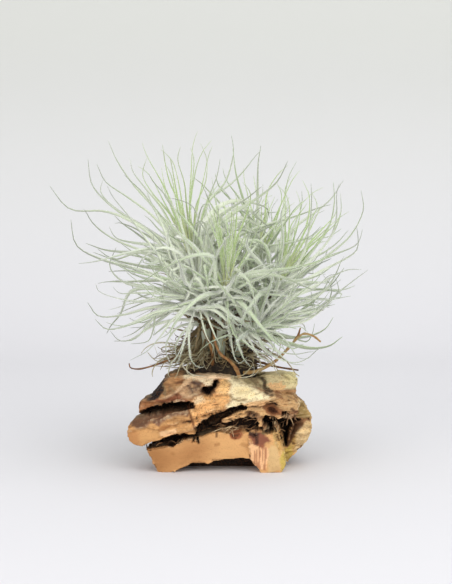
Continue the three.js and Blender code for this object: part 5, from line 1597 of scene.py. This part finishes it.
# The hollows among the ridges are painted darker, and the ridges that face the front paler.
paint(ease(-hollow, 0.12, 0.45) * 0.5 * (1 - sawn), "#6a4a30")
paint(ease(hollow, 0.1, 0.5) * 0.35 * (1 - sawn) * facing_front, "#ffe9bd")
paint(cracks * 0.8, "#4a3322")
# Painted shade: corners that the rays find closed in are painted brown, then near black.
occlusion_shade = occlusion + ragged * 0.08
# The spoon, fold, rim, cheek and lip near the front are kept free of this painted shade.
unshaded_faces = sum(ease(inside(name), -1, 1) for name in ("spoon", "fold", "rim", "cheek", "lip"))
shade_allowed = 1 - near_front * np.clip(unshaded_faces, 0, 1)
paint(ease(occlusion_shade, 0.46, 0.6) * 0.7 * shade_allowed, "#5b412c")
paint(ease(occlusion_shade, 0.58, 0.72) * shade_allowed, "#241a12")
# Painted shade: every gap is painted near black.
for name in GAP_FLOORS:
    paint(ease(inside(name) + ragged * 0.4, -0.2, 0.6) * in_front * 0.95, "#1d1410")
# Painted shade on the lobe's wall inside the cleft.
paint(ease(inside("cleft_wall"), 0, 1.2) * lobe_side, "#5f4129")
# Painted shade along the seam where the block meets the cream face.
paint(ease(inside("block_seam_shade") + ragged * 0.8, -0.9, 0.7) * ease(-y, 2, 6) * 0.25, "#6a5a40")
for hex_colour, half, strength, points in STROKES:
    share = ease(-from_line(points) + ragged * 0.25, -half - 0.35, -half + 0.35) * strength
    paint(share * ease(-y, 2, 8) * facing_front, hex_colour)
print("strokes painted:", len(STROKES))

# %% [markdown]
# ### Knot hole, arch and shader masks
# The knot hole at the right looks like an eye: a brown rim round a darker pupil. The arch under
# the sawn slab gets a painted shadow. The finished colour goes to the mesh as one attribute, and
# two more tell the shader how pitted the wood is and how much of its split grain shows.

# %% Knot hole and shader masks
PUPIL_AT = (28.6, 33)

in_eye = inside("eye")
paint(ease(in_eye + ragged * 0.6, -1.4, 0.6) * near_front, "#94603b")
pupil = in_eye - np.hypot(x - PUPIL_AT[0], z - PUPIL_AT[1]) * 0.45 + ragged * 0.4
paint(ease(pupil, -0.6, 0.7) * near_front, "#4a2716")
# Painted shadow under the arch of the sawn slab.
paint(ease(y, -23, -20) * ease(11 - z, 0, 3) * facing_front * ease(22 - x, 0, 4), "#30261f")

stain_layer = wood_mesh.attributes.new("stain", "FLOAT_COLOR", "POINT")
stain_layer.data.foreach_set("color", np.hstack([colour, np.ones((len(colour), 1))]).ravel())
pitted = ease(inside("pitted_face"), -1, 1) * facing_front
pitted = (0.6 + 0.4 * pitted) * (1 - 0.5 * sawn)
on_cream = ease(inside("cream_face"), -1, 1) * near_front
split = 1 - 0.8 * sawn - 0.5 * on_cream * (1 - sawn)
for name, values in (("pitted", pitted), ("split", split)):
    wood_mesh.attributes.new(name, "FLOAT", "POINT").data.foreach_set("value", values)
print("wood painted")

# %% [markdown]
# ### Driftwood material
# The painted stain gives the colour. Streaks 1.8 mm apart and three times as long run along the
# grain and are strongest where the wood was split, and pores 0.7 mm across pit it, as the cut
# ends of its vessels do. Dry wood is dull, so it's rough, with hardly any gloss.

# %% Driftwood material
GRAIN_STREAK, PORE_SIZE = 1.8 * MM, 0.7 * MM
SHARP_EDGE = math.radians(38)

weathered, tree = new_material("split_driftwood")
place = add(tree, "ShaderNodeTexCoord")
stain = add(tree, "ShaderNodeAttribute", attribute_name="stain")
pit_share = add(tree, "ShaderNodeAttribute", attribute_name="pitted")
split_share = add(tree, "ShaderNodeAttribute", attribute_name="split")
stretch = add(tree, "ShaderNodeMapping",
              {"Vector": place.outputs["Object"], "Scale": (0.3, 1.0, 1.0)})
grain = add(tree, "ShaderNodeTexNoise",
            {"Vector": stretch.outputs[0], "Scale": 1 / GRAIN_STREAK,
             "Detail": 5.0, "Roughness": 0.65})
streaks = add(tree, "ShaderNodeMapRange",
              {"Value": grain.outputs["Fac"], "From Min": 0.34, "From Max": 0.66,
               "To Min": -0.26, "To Max": 0.14})
streak = add(tree, "ShaderNodeMath",
             {0: streaks.outputs[0], 1: split_share.outputs["Fac"], 2: 1.0},
             operation="MULTIPLY_ADD")
toned = add(tree, "ShaderNodeVectorMath",
            {0: stain.outputs["Color"], "Scale": streak.outputs[0]}, operation="SCALE")
pores = add(tree, "ShaderNodeTexNoise",
            {"Vector": place.outputs["Object"], "Scale": 1 / PORE_SIZE,
             "Detail": 2.0, "Roughness": 0.5})
pore = add(tree, "ShaderNodeMapRange",
           {"Value": pores.outputs["Fac"], "From Min": 0.43, "From Max": 0.35,
            "To Min": 0.0, "To Max": 0.75})
pore_share = add(tree, "ShaderNodeMath", {0: pore.outputs[0], 1: pit_share.outputs["Fac"]},
                 operation="MULTIPLY")
pored = add(tree, "ShaderNodeMix",
            {0: pore_share.outputs[0], 6: toned.outputs[0], 7: linear("#945c34")},
            data_type="RGBA")
relief = add(tree, "ShaderNodeMath", {0: grain.outputs["Fac"], 1: pore_share.outputs[0]},
             operation="SUBTRACT")
bump = add(tree, "ShaderNodeBump",
           {"Height": relief.outputs[0], "Strength": 0.6, "Distance": 0.45 * MM})
shader = add(tree, "ShaderNodeBsdfPrincipled", {
    "Base Color": pored.outputs[2], "Normal": bump.outputs[0],
    "Roughness": 0.8, "Specular IOR Level": 0.3})
finish_material(tree, shader)

wood_mesh.materials.append(weathered)
shade_smooth(wood_mesh)
wood_mesh.set_sharp_from_angle(angle=SHARP_EDGE)
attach(driftwood, "root")
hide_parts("driftwood")
print("driftwood finished")

# %% [markdown]
# ## Splinters
# Where the wood split, thin slivers stay hanging in the gaps. Each is a flat, pointed sweep along
# the grain, strewn in the named gaps and along the torn rims. Fresh fibre is pale, old fibre brown.

# %% Splinters
SPLINTER_FIBRE = 1.2 * MM
splinter_wood, tree = new_material("torn_wood_fibre")
tint = add(tree, "ShaderNodeAttribute", attribute_name="tint")
place = add(tree, "ShaderNodeTexCoord")
fibre = add(tree, "ShaderNodeTexNoise",
            {"Vector": place.outputs["Object"], "Scale": 1 / SPLINTER_FIBRE, "Detail": 3.0})
toned = add(tree, "ShaderNodeMath", {0: fibre.outputs["Fac"], 1: tint.outputs["Fac"], 2: 0.1},
            operation="MULTIPLY_ADD")
fibre_tone = add(tree, "ShaderNodeValToRGB", {"Fac": toned.outputs[0]},
                 stops=[(0.1, "#4a3524"), (0.6, "#e9cfa2"), (0.3, "#a97f55")])
shader = add(tree, "ShaderNodeBsdfPrincipled",
             {"Base Color": fibre_tone.outputs[0], "Roughness": 0.85})
finish_material(tree, shader)

GAPS = [  # middle, half sizes, how many, lightest tint, how far it is turned up from the grain
    ((8, -21, 24), (12, 4, 1.6), 16, 0.5, 0),
    ((22, -20, 26), (9, 4, 3), 12, 0.5, 0),
    ((-30, -23, 15.6), (9, 3, 1.4), 4, 0.4, 0),
    ((2, -25.5, 23.6), (7, 1.5, 0.8), 12, 1.0, 0),
    ((33, -14, 24), (3, 4, 8), 6, 0.5, 0.6),
    ((38.4, -21, 29), (2.2, 1.5, 2), 7, 1.0, 1.3),
    ((5, -25.5, 22.4), (2, 1, 1.2), 7, 1.0, 0.9),
    ((29.6, -20, 25), (1.5, 2, 3), 8, 0.7, 1.3),
]
SLIVER = [(0.5, 0), (0.1, 0.3), (-0.5, 0.05), (-0.1, -0.25)]
SLIVER_STEPS = 8
rng = random.Random("splinters")
growth = Growth()
for middle, half, count, lightest, turned_up in GAPS:
    for _ in range(count):
        spot = np.array([m + rng.uniform(-h, h) for m, h in zip(middle, half)])
        lie = GRAIN_RISE + turned_up + rng.gauss(0, 0.35)
        heading = unit(np.array([math.cos(lie), rng.gauss(0, 0.3), math.sin(lie)]))
        length, wide = rng.uniform(2.5, 8), rng.uniform(0.35, 1.1)
        bend = np.array([0, rng.gauss(0, 0.5), rng.gauss(0, 0.7)])
        ends = heading * length / 2
        path = curve_through([spot - ends, spot + bend, spot + ends], SLIVER_STEPS)
        widths = wide * shares_along(SLIVER_STEPS, [0, 0.3, 0.7, 1], [0.2, 1, 0.9, 0.15])
        tint, twist = rng.uniform(0.1, lightest), rng.uniform(-1, 1)
        growth.sweep(path, SLIVER, widths, widths * 0.7, UP, tint, twist)
growth.piece("wood_splinters", splinter_wood, "driftwood")
print("splinters:", sum(gap[2] for gap in GAPS))

# %% Finish
bpy.context.view_layer.update()
